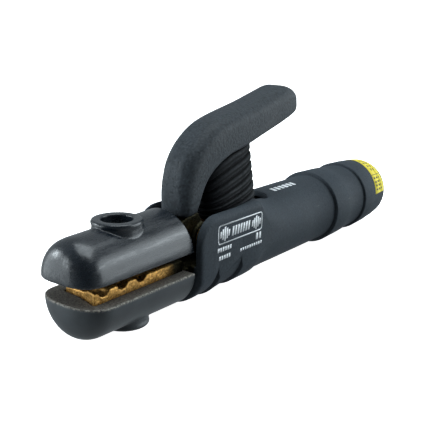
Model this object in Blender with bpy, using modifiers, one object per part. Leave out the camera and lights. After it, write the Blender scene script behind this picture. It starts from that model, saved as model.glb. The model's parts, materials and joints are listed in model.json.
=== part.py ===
"""A jaw-type electrode holder for stick welding: a brass casting with a fixed lower jaw, an upper jaw
on a pivot with its lever, two moulded jaw insulators, a spring in a rubber boot and a hollow handle.

The tool lies along Y with its jaws towards -Y and the cable inlet towards +Y. The lever points up, +Z.
Sizes are in millimetres and MM turns them into metres. Heights are measured from the handle's own axis,
which lies AXIS_HEIGHT above the surface that the holder lies on.
"""

import math

import bmesh
import bpy
from mathutils import Vector

MM = 0.001

# Overall
AXIS_HEIGHT = 19.0
GAP = 0.3
SCREW_GAP = 0.3

# Jaw insulators
UPPER_NOSE_Y = -112.35
LOWER_NOSE_Y = -110.5
UPPER_REAR_Y = -55.9
LOWER_REAR_Y = -57.0
NOSE_LENGTH = 10.5
NOSE_BLUNTNESS = 2.8
LOWER_NOSE_BLUNTNESS = 2.45
NOSE_DISTANCES = (0.15, 0.7, 1.7, 3.2, 5.4, 8.0, 10.5)
UPPER_HALF_WIDTH = 13.8
UPPER_EDGE_Z = 5.0
UPPER_CROWN_Z = 19.2
UPPER_CROWN_RISE = 1.6
REAR_WALL = 1.8
UPPER_REAR_LEAN = 0.22
LOWER_HALF_WIDTH = 15.3
LOWER_RIM_Z = -2.6
LOWER_BELLY_Z = -17.9

# Screw bosses on the insulators
UPPER_BOSS_Y = -83.5
LOWER_BOSS_Y = -80.5
BOSS_RADIUS = 9.5
BOSS_HOLE_RADIUS = 5.9
UPPER_BOSS_Z = 21.9
LOWER_BOSS_Z = -19.0
UPPER_BOSS_FLOOR_Z = 12.0
LOWER_BOSS_FLOOR_Z = -12.6
INSULATOR_SCREW_RADIUS = 2.5
INSULATOR_SCREW_HEAD_RADIUS = 4.2
INSULATOR_SCREW_HEAD_HEIGHT = 3.2
INSULATOR_SCREW_LENGTH = 8.6
HEX_SOCKET_RADIUS = 2.3
WASHER_THICKNESS = 0.8
WASHER_RADIUS = 5.2

# Brass jaws
LOWER_JAW_HALF_WIDTH = 9.0
# The lower jaw's cast front seen from above, which runs a little on the slant
JAW_FRONT_LINE = ((9.0, -104.2), (4.5, -102.5), (-2.0, -100.8), (-9.0, -100.6))
LOWER_JAW_REAR_Y = -57.0
LOWER_JAW_TOP_Z = 1.2
LOWER_JAW_BOTTOM_Z = -9.0
UPPER_JAW_HALF_WIDTH = 7.0
UPPER_JAW_FRONT_Y = -102.0
UPPER_JAW_REAR_Y = -64.0
UPPER_JAW_BOTTOM_Z = 1.5
UPPER_JAW_TOP_Z = 9.0
GROOVE_FIRST_Y = -99.6
GROOVE_PITCH = 9.5
GROOVE_COUNT = 3
GROOVE_RADIUS = 2.9
GROOVE_DEPTH = 2.0
NECK_HALF_WIDTH = 5.4
NECK_OUTLINE = (
    (-70.0, 3.4),
    (-48.0, 1.6),
    (-38.0, 8.0),
    (-43.0, 16.8),
    (-52.0, 15.6),
    (-58.0, 12.6),
    (-70.0, 8.6),
)

# Pivot
PIVOT_Y = -41.0
PIVOT_Z = 6.0
PIN_RADIUS = 3.0
PIN_HALF_LENGTH = 13.2
PIN_HOLE_RADIUS = 3.12
PIN_SIDES = 24
HUB_RADIUS = 6.3
HUB_HALF_WIDTH = 6.5
LUG_RADIUS = 5.5
LUG_INNER_X = 8.0
LUG_OUTER_X = 11.2
CLIP_GROOVE_RADIUS = 2.5
CLIP_X = 11.6
CLIP_THICKNESS = 0.9
CLIP_RADIUS = 4.6

# Casting's shank and the cable socket
SHANK_HALF_WIDTH = 8.0
SHANK_TOP_Z = 8.4
ROD_RADIUS = 6.5
ROD_END_Y = 33.0
SOCKET_FRONT_Y = 16.0
SOCKET_REAR_Y = 70.0
SOCKET_RADIUS = 9.5
SOCKET_BORE_RADIUS = 6.4
SLEEVE_FRONT_Y = 40.0
SLEEVE_REAR_Y = 67.0
SLEEVE_INNER_RADIUS = 5.3
CABLE_SCREW_Y = (46.0, 58.0)
CABLE_SCREW_RADIUS = 3.6
CABLE_SCREW_TOP_Z = 12.4
CABLE_PAD_RADIUS = 5.4
CABLE_PAD_TOP_Z = 11.4

# Handle
CHEEK_FRONT_Y = -55.5
CHEEK_CORNER = 10.0
CHEEK_HALF_WIDTH = 17.0
COLLAR_TOP_Z = 17.9
COLLAR_CORNER = 2.8
FORK_HALF_WIDTH = 14.2
SLOT_HALF_WIDTH = 8.3
SLOT_END_Y = 6.2
SLOT_CORNER = 5.0
STEP_ONE_Y = -44.1
STEP_TWO_Y = -28.4
STEP_DRAFT = 0.3
COLLAR_END_Y = -15.0
TUBE_START_Y = -10.5
TUBE_RADIUS = 16.4
TUBE_DROP = 0.8
RING_A_Y = 52.0
RING_A_RADIUS = 18.0
RING_B_Y = 83.4
RING_B_RADIUS = 17.7
HANDLE_REAR_Y = 112.2
HANDLE_BORE_RADIUS = 13.4
INLET_RADIUS = 9.5
INLET_WALL = 4.5
ROUND_SIDE_DEG = 5.0
# Cheeks: distance behind CHEEK_FRONT_Y, belly radius
CHEEK_STATIONS = ((0.0, 17.8), (0.7, 18.4), (2.2, 18.4), (4.6, 18.3), (7.5, 18.1), (10.0, 17.8))
# Collar with its two steps: place along the tool, belly radius
COLLAR_STATIONS = (
    (STEP_ONE_Y, 17.3),
    (STEP_ONE_Y + STEP_DRAFT, 18.7),
    (STEP_TWO_Y, 17.1),
    (STEP_TWO_Y + STEP_DRAFT, 18.4),
    (COLLAR_END_Y - 3.0, 18.2),
    (COLLAR_END_Y, 18.0),
)
# From collar to tube: distance behind TUBE_START_Y, belly, half width, top, top corner, drop
NECK_STATIONS = (
    (-2.2, 17.2, 16.9, 17.6, 6.0, 0.1),
    (2.0, 16.9, 16.7, 17.0, 10.0, 0.3),
    (10.0, 16.6, 16.55, 16.65, 14.0, 0.6),
)
# Tube and its two rings: place along the tool, radius
TUBE_STATIONS = (
    (TUBE_START_Y + 20.0, TUBE_RADIUS + 0.05),
    (RING_A_Y, TUBE_RADIUS - 0.2),
    (RING_A_Y, RING_A_RADIUS),
    (RING_A_Y + 15.0, RING_A_RADIUS - 0.5),
    (RING_B_Y, RING_A_RADIUS - 1.6),
    (RING_B_Y, RING_B_RADIUS),
    (RING_B_Y + 11.0, RING_B_RADIUS - 0.4),
    (RING_B_Y + 20.0, RING_B_RADIUS - 1.1),
    (HANDLE_REAR_Y - 3.2, RING_B_RADIUS - 1.9),
    (HANDLE_REAR_Y - 1.0, RING_B_RADIUS - 3.1),
    (HANDLE_REAR_Y, RING_B_RADIUS - 4.6),
)
HANDLE_SCREW_Y = -20.0
HANDLE_SCREW_RADIUS = 2.5
HANDLE_SCREW_HEAD_RADIUS = 4.3
HANDLE_SCREW_HEAD_HEIGHT = 2.4
HANDLE_SCREW_SEAT_Z = -15.4

# Spring, its seats and the boot round it
SPRING_FOOT = (-15.0, 11.7)
SPRING_HEAD = (-19.6, 36.0)
SPRING_RADIUS = 5.2
SPRING_WIRE_RADIUS = 1.0
SPRING_TURNS = 5.5
SPRING_POINTS_PER_TURN = 12
SEAT_RADIUS = 6.5
SEAT_THICKNESS = 1.4
SPIGOT_RADIUS = 3.8
SPIGOT_HEIGHT = 3.6
SEAT_PLATE_FRONT_Y = -33.0
SEAT_PLATE_REAR_Y = -1.5
SEAT_PLATE_HALF_WIDTH = 7.8
SEAT_PLATE_BOTTOM_Z = 8.8
BOOT_FRONT_Y = -36.2
BOOT_FRONT_LEAN = 3.6
BOOT_REAR_LEAN = 7.0
BOOT_ROUNDNESS = 0.8
BOOT_FRONT_CROWDING = 0.8
BOOT_REAR_Y = -0.6
BOOT_HALF_WIDTH = 9.0
BOOT_BASE_Z = 12.0
BOOT_FOLDS = 7
BOOT_FOLD_DEPTH = 1.1
BOOT_SIDES = 24
BOOT_WALL = 0.9
BOOT_TOP_CLEARANCE = 1.0

# The lever's outline seen from the side: front or top point, rear or under point, half width
LEVER_STATIONS = (
    ((-52.8, 16.6), (-45.4, 18.0), 7.4),
    ((-53.6, 25.0), (-42.9, 24.2), 7.8),
    ((-52.9, 31.6), (-41.0, 28.0), 8.0),
    ((-50.3, 38.0), (-37.6, 31.8), 8.3),
    ((-44.9, 44.2), (-32.3, 35.2), 8.6),
    ((-36.4, 49.8), (-25.0, 38.0), 8.8),
    ((-25.8, 53.2), (-16.4, 39.8), 9.0),
    ((-6.6, 57.0), (-2.2, 43.4), 9.0),
    ((9.0, 60.6), (12.0, 47.1), 9.0),
    ((16.8, 62.3), (18.9, 49.0), 8.8),
    ((22.2, 61.5), (23.8, 50.5), 8.1),
    ((26.0, 59.6), (26.8, 52.3), 6.5),
    ((28.7, 57.4), (28.9, 54.5), 4.0),
)
LEVER_TOP_CORNER = 6.0
LEVER_UNDER_CORNER = 1.6
ARM_CORNER = 1.0
ARM_FOOT_SHIFT = (0.0, 0.6, -5.0)
ARM_LAST_STATION = 8
ARM_HALF_WIDTH = 4.5
ARM_SHARE = 0.42

COLOURS = {
    "gloss_black": ((0.030, 0.033, 0.038), 0.32, 0.0),
    "satin_black": ((0.040, 0.043, 0.047), 0.45, 0.0),
    "grainy_black": ((0.045, 0.048, 0.053), 0.6, 0.0),
    "moulded_black": ((0.045, 0.050, 0.056), 0.55, 0.0),
    "rubber": ((0.022, 0.023, 0.025), 0.75, 0.0),
    "cast_brass": ((0.72, 0.45, 0.14), 0.42, 1.0),
    "turned_brass": ((0.78, 0.53, 0.20), 0.3, 1.0),
    "copper": ((0.80, 0.38, 0.22), 0.3, 1.0),
    "steel": ((0.60, 0.60, 0.62), 0.3, 1.0),
    "insulating_board": ((0.20, 0.09, 0.04), 0.6, 0.0),
}


# ---------------------------------------------------------------- scene and materials


def clear_scene():
    for obj in list(bpy.data.objects):
        bpy.data.objects.remove(obj, do_unlink=True)


def new_collection(name):
    collection = bpy.data.collections.new(name)
    bpy.context.scene.collection.children.link(collection)
    return collection


def new_material(part_name, look):
    colour, roughness, metallic = COLOURS[look]
    material = bpy.data.materials.new(part_name + "_" + look)
    material.use_nodes = True
    shader = material.node_tree.nodes["Principled BSDF"]
    shader.inputs["Base Color"].default_value = (*colour, 1.0)
    shader.inputs["Roughness"].default_value = roughness
    shader.inputs["Metallic"].default_value = metallic
    material.diffuse_color = (*colour, 1.0)
    return material


def move_to(obj, collection):
    for old in list(obj.users_collection):
        old.objects.unlink(obj)
    collection.objects.link(obj)


def empty_at(name, location, parent=None):
    empty = bpy.data.objects.new(name, None)
    empty.location = location
    empty.parent = parent
    PARTS.objects.link(empty)
    return empty


def name_part(obj, name, look, parent):
    """Makes a shape one of the holder's parts: its name, its material and the empty that it hangs on."""
    obj.name = name
    obj.data.name = name
    obj.data.materials.clear()
    obj.data.materials.append(new_material(name, look))
    obj.parent = parent
    if parent is LEVER_PIVOT:
        obj.location -= Vector((0.0, PIVOT_Y * MM, PIVOT_Z * MM))
    obj.data.shade_smooth()
    obj.data.set_sharp_from_angle(angle=math.radians(32.0))
    move_to(obj, PARTS)
    return obj


def hide_helper(obj):
    obj.hide_render = True
    obj.display_type = "WIRE"
    obj.parent = TOOL_AXIS
    move_to(obj, HELPERS)


# ---------------------------------------------------------------- shapes


def metres(point):
    return Vector(point) * MM


def box(low, high):
    """A box between two corners, from a primitive cube with its scale applied."""
    low, high = metres(low), metres(high)
    bpy.ops.mesh.primitive_cube_add(size=1.0, location=(low + high) / 2.0)
    obj = bpy.context.object
    for vertex in obj.data.vertices:
        vertex.co = Vector(a * b for a, b in zip(vertex.co, high - low))
    return obj


def cylinder(start, end, radius, sides=28):
    start, end = metres(start), metres(end)
    along = end - start
    bpy.ops.mesh.primitive_cone_add(
        vertices=sides,
        radius1=radius * MM,
        radius2=radius * MM,
        depth=along.length,
        location=(start + end) / 2.0,
    )
    obj = bpy.context.object
    obj.rotation_euler = along.to_track_quat("Z", "Y").to_euler()
    return obj


def turned(profile, start, direction, sides=28, hollow=False):
    """A turned shape. The profile gives (radius, distance along) down the outer side, from the far end."""
    mesh = bpy.data.meshes.new("turned")
    points = [(radius * MM, 0.0, along * MM) for radius, along in profile]
    count = len(points)
    edges = [(i, i + 1) for i in range(count - 1)]
    if hollow:
        edges.append((count - 1, 0))
    mesh.from_pydata(points, edges, [])
    obj = bpy.data.objects.new("turned", mesh)
    bpy.context.scene.collection.objects.link(obj)
    obj.location = metres(start)
    obj.rotation_euler = Vector(direction).to_track_quat("Z", "Y").to_euler()
    screw = obj.modifiers.new("turn", "SCREW")
    screw.axis = "Z"
    screw.angle = math.tau
    screw.steps = sides
    screw.render_steps = sides
    screw.use_merge_vertices = True
    screw.merge_threshold = 0.00001
    screw.use_smooth_shade = True
    return obj


def loft(rings):
    """A closed skin through rings of equally many points, with a flat cap on each end."""
    mesh = bpy.data.meshes.new("loft")
    skin = bmesh.new()
    rows = [[skin.verts.new(metres(point)) for point in ring] for ring in rings]
    count = len(rows[0])
    for row, following in zip(rows, rows[1:]):
        for i in range(count):
            j = (i + 1) % count
            skin.faces.new((row[i], row[j], following[j], following[i]))
    skin.faces.new(list(reversed(rows[0])))
    skin.faces.new(rows[-1])
    bmesh.ops.remove_doubles(skin, verts=skin.verts, dist=0.000001)
    bmesh.ops.recalc_face_normals(skin, faces=skin.faces)
    skin.to_mesh(mesh)
    skin.free()
    obj = bpy.data.objects.new("loft", mesh)
    bpy.context.scene.collection.objects.link(obj)
    return obj


def prism(outline, low_z, high_z):
    """An outline in X and Y, carried straight up."""
    return loft([[(x, y, low_z) for x, y in outline], [(x, y, high_z) for x, y in outline]])


def boolean(obj, others, operation):
    for other in others:
        modifier = obj.modifiers.new(operation.lower(), "BOOLEAN")
        modifier.operation = operation
        modifier.solver = "EXACT"
        modifier.object = other
        hide_helper(other)
    return obj


def cut(obj, *cutters):
    return boolean(obj, cutters, "DIFFERENCE")


def join(obj, *others):
    return boolean(obj, others, "UNION")


def arc(centre_x, centre_z, radius_x, radius_z, start_deg, end_deg, steps):
    """Points on an arc, both ends included."""
    points = []
    for i in range(steps + 1):
        angle = math.radians(start_deg + (end_deg - start_deg) * i / steps)
        points.append((centre_x + radius_x * math.cos(angle), centre_z + radius_z * math.sin(angle)))
    return points


def mirrored(half):
    """A whole outline from its +X half, which starts and ends at the plane x = 0."""
    return half + [(-x, z) for x, z in reversed(half[1:-1])]


def superellipse(distance, length, bluntness):
    """How much of its full size a blunt nose has at this distance behind its tip."""
    if distance >= length:
        return 1.0
    return (1.0 - (1.0 - distance / length) ** bluntness) ** (1.0 / bluntness)


# ---------------------------------------------------------------- jaw insulators

def insulator_rings(nose_y, rear_y, half_width, edge_z, crown_z, lean, rise):
    """Half-capsule rings from the blunt nose to the leaning rear edge, open side at edge_z."""
    length = rear_y - nose_y
    bluntness = NOSE_BLUNTNESS if crown_z > edge_z else LOWER_NOSE_BLUNTNESS
    rings = []
    for distance in (*NOSE_DISTANCES, length):
        share = superellipse(distance, NOSE_LENGTH, bluntness)
        height = crown_z + rise * distance / length - edge_z
        side = height - math.copysign(half_width, height)
        width = half_width * share
        half = [(0.0, edge_z), (width, edge_z)]
        half += arc(0.0, edge_z + side * share, width, (height - side) * share, 2.0, 90.0, 9)
        slope = lean if distance == length else 0.0
        y = nose_y + distance
        rings.append([(x, y - slope * abs(z - edge_z), z) for x, z in mirrored(half)])
    return rings


def upper_jaw_insulator():
    shell = loft(
        insulator_rings(
            UPPER_NOSE_Y,
            UPPER_REAR_Y,
            UPPER_HALF_WIDTH,
            UPPER_EDGE_Z,
            UPPER_CROWN_Z,
            UPPER_REAR_LEAN,
            UPPER_CROWN_RISE,
        )
    )
    join(shell, cylinder((0, UPPER_BOSS_Y, 11.0), (0, UPPER_BOSS_Y, UPPER_BOSS_Z), BOSS_RADIUS))
    pocket = box(
        (-UPPER_JAW_HALF_WIDTH - GAP, UPPER_JAW_FRONT_Y - GAP, -5.0),
        (UPPER_JAW_HALF_WIDTH + GAP, -50.0, UPPER_JAW_TOP_Z + GAP),
    )
    rear_radius = UPPER_HALF_WIDTH - REAR_WALL
    rear_crown = UPPER_CROWN_Z + UPPER_CROWN_RISE - REAR_WALL
    rear_half = [(0.0, -5.0), (rear_radius, -5.0)]
    rear_half += arc(0.0, rear_crown - rear_radius, rear_radius, rear_radius, 0.0, 90.0, 8)
    rear_hollow = loft([[(x, y, z) for x, z in mirrored(rear_half)] for y in (-72.0, -50.0)])
    cut(
        shell,
        pocket,
        rear_hollow,
        cylinder((0, UPPER_BOSS_Y, UPPER_BOSS_FLOOR_Z), (0, UPPER_BOSS_Y, 30.0), BOSS_HOLE_RADIUS),
        cylinder((0, UPPER_BOSS_Y, 0.0), (0, UPPER_BOSS_Y, 30.0), INSULATOR_SCREW_RADIUS + SCREW_GAP, 20),
    )
    return name_part(shell, "upper_jaw_insulator", "gloss_black", LEVER_PIVOT)


def lower_jaw_outline(gap, rear_y):
    """The lower jaw seen from above, grown by a gap."""
    wider = 1.0 + gap / LOWER_JAW_HALF_WIDTH
    front = [(x * wider, y - 1.3 * gap) for x, y in JAW_FRONT_LINE]
    return [(front[-1][0], rear_y), (front[0][0], rear_y), *front]


def lower_jaw_insulator():
    shell = loft(
        insulator_rings(LOWER_NOSE_Y, LOWER_REAR_Y, LOWER_HALF_WIDTH, LOWER_RIM_Z, LOWER_BELLY_Z, 0.0, 0.0)
    )
    join(shell, cylinder((0, LOWER_BOSS_Y, LOWER_BOSS_Z), (0, LOWER_BOSS_Y, -11.0), BOSS_RADIUS))
    cut(
        shell,
        prism(lower_jaw_outline(GAP, -50.0), LOWER_JAW_BOTTOM_Z - GAP, 5.0),
        cylinder((0, LOWER_BOSS_Y, -30.0), (0, LOWER_BOSS_Y, LOWER_BOSS_FLOOR_Z), BOSS_HOLE_RADIUS),
        cylinder((0, LOWER_BOSS_Y, -30.0), (0, LOWER_BOSS_Y, 0.0), INSULATOR_SCREW_RADIUS + SCREW_GAP, 20),
    )
    return name_part(shell, "lower_jaw_insulator", "satin_black", TOOL_AXIS)


def insulator_fixings(prefix, y, floor_z, up, parent):
    """The washer on a boss's floor and the socket-head screw that goes through it into the jaw."""
    washer_z = floor_z + up * GAP
    washer = turned(
        (
            (WASHER_RADIUS, WASHER_THICKNESS),
            (WASHER_RADIUS, 0.0),
            (INSULATOR_SCREW_RADIUS + SCREW_GAP, 0.0),
            (INSULATOR_SCREW_RADIUS + SCREW_GAP, WASHER_THICKNESS),
        ),
        (0, y, washer_z),
        (0, 0, up),
        24,
        hollow=True,
    )
    name_part(washer, prefix + "_insulator_washer", "steel", parent)
    seat_z = washer_z + up * (WASHER_THICKNESS + GAP)
    head_z = seat_z + up * INSULATOR_SCREW_HEAD_HEIGHT
    screw = cylinder((0, y, seat_z), (0, y, head_z), INSULATOR_SCREW_HEAD_RADIUS)
    join(
        screw,
        cylinder(
            (0, y, seat_z - up * INSULATOR_SCREW_LENGTH),
            (0, y, seat_z + up * 0.5),
            INSULATOR_SCREW_RADIUS,
            20,
        ),
    )
    cut(screw, cylinder((0, y, seat_z + up * 1.2), (0, y, seat_z + up * 6.0), HEX_SOCKET_RADIUS, 6))
    name_part(screw, prefix + "_insulator_screw", "steel", parent)


# ---------------------------------------------------------------- brass jaws


def jaw_screw_hole(y, mouth_z, depth):
    return cylinder((0, y, mouth_z - depth), (0, y, mouth_z + 1.0), INSULATOR_SCREW_RADIUS + SCREW_GAP, 20)


def groove_cutters(face_z, up):
    """Round-bottomed grooves across a jaw, which hold the electrode at right angles to the tool."""
    cutters = []
    for i in range(GROOVE_COUNT):
        y = GROOVE_FIRST_Y + i * GROOVE_PITCH
        z = face_z + up * (GROOVE_RADIUS - GROOVE_DEPTH)
        cutters.append(cylinder((-20, y, z), (20, y, z), GROOVE_RADIUS, 16))
    return cutters


def pivot_hole():
    return cylinder((-20, PIVOT_Y, PIVOT_Z), (20, PIVOT_Y, PIVOT_Z), PIN_HOLE_RADIUS, PIN_SIDES)


def lug(inner_x, outer_x):
    """One of the two plates beside the upper jaw's hub, round at the top about the pin."""
    outline = arc(PIVOT_Y, PIVOT_Z, LUG_RADIUS, LUG_RADIUS, 0.0, 180.0, 18)
    outline += [(PIVOT_Y - LUG_RADIUS, -4.0), (PIVOT_Y + LUG_RADIUS, -4.0)]
    return loft([[(x, y, z) for y, z in outline] for x in (inner_x, outer_x)])


def lower_jaw():
    """The main casting: jaw, neck, the two lugs for the pin, and the shank with its round end."""
    casting = prism(lower_jaw_outline(0.0, LOWER_JAW_REAR_Y), LOWER_JAW_BOTTOM_Z, LOWER_JAW_TOP_Z)
    join(
        casting,
        box((-8.4, LOWER_JAW_REAR_Y - 2.0, LOWER_JAW_BOTTOM_Z + 0.5), (8.4, -50.0, -3.2)),
        box((-LUG_OUTER_X, -53.0, -6.2), (LUG_OUTER_X, -34.0, -2.0)),
        box((-SHANK_HALF_WIDTH, -36.0, -6.8), (SHANK_HALF_WIDTH, 2.0, 0.6)),
        box((-5.0, -31.0, -1.0), (5.0, 0.0, SHANK_TOP_Z)),
        cylinder((0, 0, 0), (0, ROD_END_Y, 0), ROD_RADIUS),
    )
    for side in (-1, 1):
        join(casting, lug(side * LUG_INNER_X, side * LUG_OUTER_X))
    cut(
        casting,
        pivot_hole(),
        jaw_screw_hole(LOWER_BOSS_Y, LOWER_JAW_BOTTOM_Z + 5.8, 8.0),
        cylinder(
            (0, HANDLE_SCREW_Y, -12.0),
            (0, HANDLE_SCREW_Y, -0.5),
            HANDLE_SCREW_RADIUS + SCREW_GAP,
            20,
        ),
        *groove_cutters(LOWER_JAW_TOP_Z, 1),
    )
    return name_part(casting, "lower_jaw", "cast_brass", TOOL_AXIS)


def lever_ring(station, thickness_share, half_width, top_corner, under_corner):
    """A rounded rectangle across the lever at one station, as points in space."""
    (front_y, front_z), (rear_y, rear_z), _ = station
    middle = Vector((0.0, (front_y + rear_y) / 2.0, (front_z + rear_z) / 2.0))
    outward = Vector((0.0, front_y - rear_y, front_z - rear_z))
    half_thickness = outward.length / 2.0 * thickness_share
    outward.normalize()
    most = 0.95 * min(half_width, half_thickness)
    top = min(top_corner, most)
    under = min(under_corner, most)
    half = [(0.0, -half_thickness)]
    half += arc(half_width - under, under - half_thickness, under, under, -90.0, 0.0, 3)
    half += arc(half_width - top, half_thickness - top, top, top, 0.0, 90.0, 4)
    half.append((0.0, half_thickness))
    return [middle + Vector((x, 0.0, 0.0)) + outward * height for x, height in mirrored(half)]


def arm_rings(thickness_share, half_width):
    """The arm inside the lever, from below the lever's foot to ARM_LAST_STATION."""
    rings = [
        lever_ring(station, thickness_share, half_width, ARM_CORNER, ARM_CORNER)
        for station in LEVER_STATIONS[: ARM_LAST_STATION + 1]
    ]
    foot = [point + Vector(ARM_FOOT_SHIFT) for point in rings[0]]
    return [foot, *rings]


def upper_jaw():
    """The moving casting: jaw, neck, hub on the pin, and the arm inside the lever."""
    casting = box(
        (-UPPER_JAW_HALF_WIDTH, UPPER_JAW_FRONT_Y, UPPER_JAW_BOTTOM_Z),
        (UPPER_JAW_HALF_WIDTH, UPPER_JAW_REAR_Y, UPPER_JAW_TOP_Z),
    )
    neck = loft([[(x, y, z) for y, z in NECK_OUTLINE] for x in (-NECK_HALF_WIDTH, NECK_HALF_WIDTH)])
    hub = cylinder(
        (-HUB_HALF_WIDTH, PIVOT_Y, PIVOT_Z),
        (HUB_HALF_WIDTH, PIVOT_Y, PIVOT_Z),
        HUB_RADIUS,
    )
    join(casting, neck, hub, loft(arm_rings(ARM_SHARE, ARM_HALF_WIDTH)))
    cut(
        casting,
        pivot_hole(),
        jaw_screw_hole(UPPER_BOSS_Y, UPPER_JAW_TOP_Z, 6.0),
        *groove_cutters(UPPER_JAW_BOTTOM_Z, -1),
    )
    return name_part(casting, "upper_jaw", "cast_brass", LEVER_PIVOT)


# ---------------------------------------------------------------- lever


def spring_axis():
    foot = Vector((0.0, *SPRING_FOOT))
    head = Vector((0.0, *SPRING_HEAD))
    return foot, head, (head - foot).normalized()


def lever_sheath():
    """The moulded cover of the lever, hollow for the arm and with a pad for the spring's upper seat."""
    sheath = loft(
        [
            lever_ring(station, 1.0, station[2], LEVER_TOP_CORNER, LEVER_UNDER_CORNER)
            for station in LEVER_STATIONS
        ]
    )
    _, head, up = spring_axis()
    seat_face = head + up * (SEAT_THICKNESS + GAP)
    join(sheath, cylinder(seat_face, seat_face + up * 6.0, SEAT_RADIUS))
    hollow = arm_rings(ARM_SHARE + 0.06, ARM_HALF_WIDTH + GAP)
    step = hollow[-1][0] - hollow[-2][0]
    hollow.append([point + step.normalized() * 0.8 for point in hollow[-1]])
    cut(sheath, loft(hollow))
    return name_part(sheath, "lever_sheath", "grainy_black", LEVER_PIVOT)


# ---------------------------------------------------------------- pivot hardware


def pivot_pin():
    groove_in = CLIP_X - 0.1
    groove_out = CLIP_X + CLIP_THICKNESS + 0.1
    end = PIN_HALF_LENGTH
    half = (
        (0.0, end),
        (PIN_RADIUS - 0.4, end),
        (PIN_RADIUS, end - 0.4),
        (PIN_RADIUS, groove_out),
        (CLIP_GROOVE_RADIUS, groove_out),
        (CLIP_GROOVE_RADIUS, groove_in),
        (PIN_RADIUS, groove_in),
    )
    profile = half + tuple((radius, -along) for radius, along in reversed(half))
    pin = turned(profile, (0, PIVOT_Y, PIVOT_Z), (1, 0, 0), PIN_SIDES)
    return name_part(pin, "pivot_pin", "steel", TOOL_AXIS)


def pivot_ring(name, side, start_x, thickness, inner_radius, outer_radius, look):
    ring = turned(
        (
            (outer_radius, thickness),
            (outer_radius, 0.0),
            (inner_radius, 0.0),
            (inner_radius, thickness),
        ),
        (side * start_x, PIVOT_Y, PIVOT_Z),
        (side, 0, 0),
        PIN_SIDES,
        hollow=True,
    )
    return name_part(ring, name, look, TOOL_AXIS)


def pivot_rings():
    for side, word in ((-1, "left"), (1, "right")):
        pivot_ring(
            "pivot_washer_" + word,
            side,
            HUB_HALF_WIDTH + GAP,
            LUG_INNER_X - HUB_HALF_WIDTH - 2 * GAP,
            PIN_RADIUS + GAP,
            LUG_RADIUS,
            "turned_brass",
        )
        pivot_ring(
            "pivot_clip_" + word,
            side,
            CLIP_X,
            CLIP_THICKNESS,
            CLIP_GROOVE_RADIUS + GAP,
            CLIP_RADIUS,
            "steel",
        )


# ---------------------------------------------------------------- cable end


def cable_socket():
    """The brass socket on the shank's round end: a front bore for the rod and a rear one for the copper."""
    socket = cylinder((0, SOCKET_FRONT_Y, 0), (0, SOCKET_REAR_Y, 0), SOCKET_RADIUS)
    hole_radius = CABLE_SCREW_RADIUS + SCREW_GAP
    screw_holes = [cylinder((0, y, 2.0), (0, y, 20.0), hole_radius, 20) for y in CABLE_SCREW_Y]
    pads = [cylinder((0, y, 2.0), (0, y, CABLE_PAD_TOP_Z), CABLE_PAD_RADIUS) for y in CABLE_SCREW_Y]
    join(socket, *pads)
    cut(
        socket,
        cylinder((0, 0, 0), (0, ROD_END_Y + GAP, 0), ROD_RADIUS + GAP),
        cylinder((0, ROD_END_Y + 5.0, 0), (0, SOCKET_REAR_Y + 5.0, 0), SOCKET_BORE_RADIUS),
        *screw_holes,
    )
    return name_part(socket, "cable_socket", "turned_brass", TOOL_AXIS)


def cable_sleeve():
    length = SLEEVE_REAR_Y - SLEEVE_FRONT_Y
    outer = SOCKET_BORE_RADIUS - GAP
    sleeve = turned(
        ((outer, length), (outer, 0.0), (SLEEVE_INNER_RADIUS, 0.0), (SLEEVE_INNER_RADIUS, length)),
        (0, SLEEVE_FRONT_Y, 0),
        (0, 1, 0),
        hollow=True,
    )
    return name_part(sleeve, "cable_sleeve", "copper", TOOL_AXIS)


def cable_screws():
    bottom = SOCKET_BORE_RADIUS
    for y, word in zip(CABLE_SCREW_Y, ("front", "rear")):
        screw = turned(
            (
                (0.0, CABLE_SCREW_TOP_Z),
                (CABLE_SCREW_RADIUS - 0.4, CABLE_SCREW_TOP_Z),
                (CABLE_SCREW_RADIUS, CABLE_SCREW_TOP_Z - 0.4),
                (CABLE_SCREW_RADIUS, bottom + 0.8),
                (CABLE_SCREW_RADIUS - 0.8, bottom),
                (0.0, bottom),
            ),
            (0, y, 0),
            (0, 0, 1),
            20,
        )
        cut(screw, cylinder((0, y, CABLE_SCREW_TOP_Z - 3.2), (0, y, 20.0), 2.2, 6))
        name_part(screw, "cable_screw_" + word, "steel", TOOL_AXIS)


# ---------------------------------------------------------------- handle


def handle_section(y, belly_radius, half_width, top, corner, drop=0.0):
    """Round below and a rounded box above. With all four sizes equal it is a full circle."""
    side_z = -math.sqrt(max(belly_radius**2 - half_width**2, 0.0))
    belly_end = min(math.degrees(math.atan2(side_z, half_width)), -ROUND_SIDE_DEG)
    inset = ROUND_SIDE_DEG if corner >= half_width else 0.0
    half = arc(0.0, 0.0, belly_radius, belly_radius, -90.0, belly_end, 8)
    half += arc(half_width - corner, top - corner, corner, corner, inset, 90.0 - inset, 7)
    half.append((0.0, top))
    return [(x, y, z - drop) for x, z in mirrored(half)]


def cheek_top(y):
    """The collar's top height, which falls in a quarter circle at the cheeks' front corner."""
    distance = y - CHEEK_FRONT_Y
    if distance >= CHEEK_CORNER:
        return COLLAR_TOP_Z
    drop = CHEEK_CORNER - math.sqrt(CHEEK_CORNER**2 - (CHEEK_CORNER - distance) ** 2)
    return COLLAR_TOP_Z - drop


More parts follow.
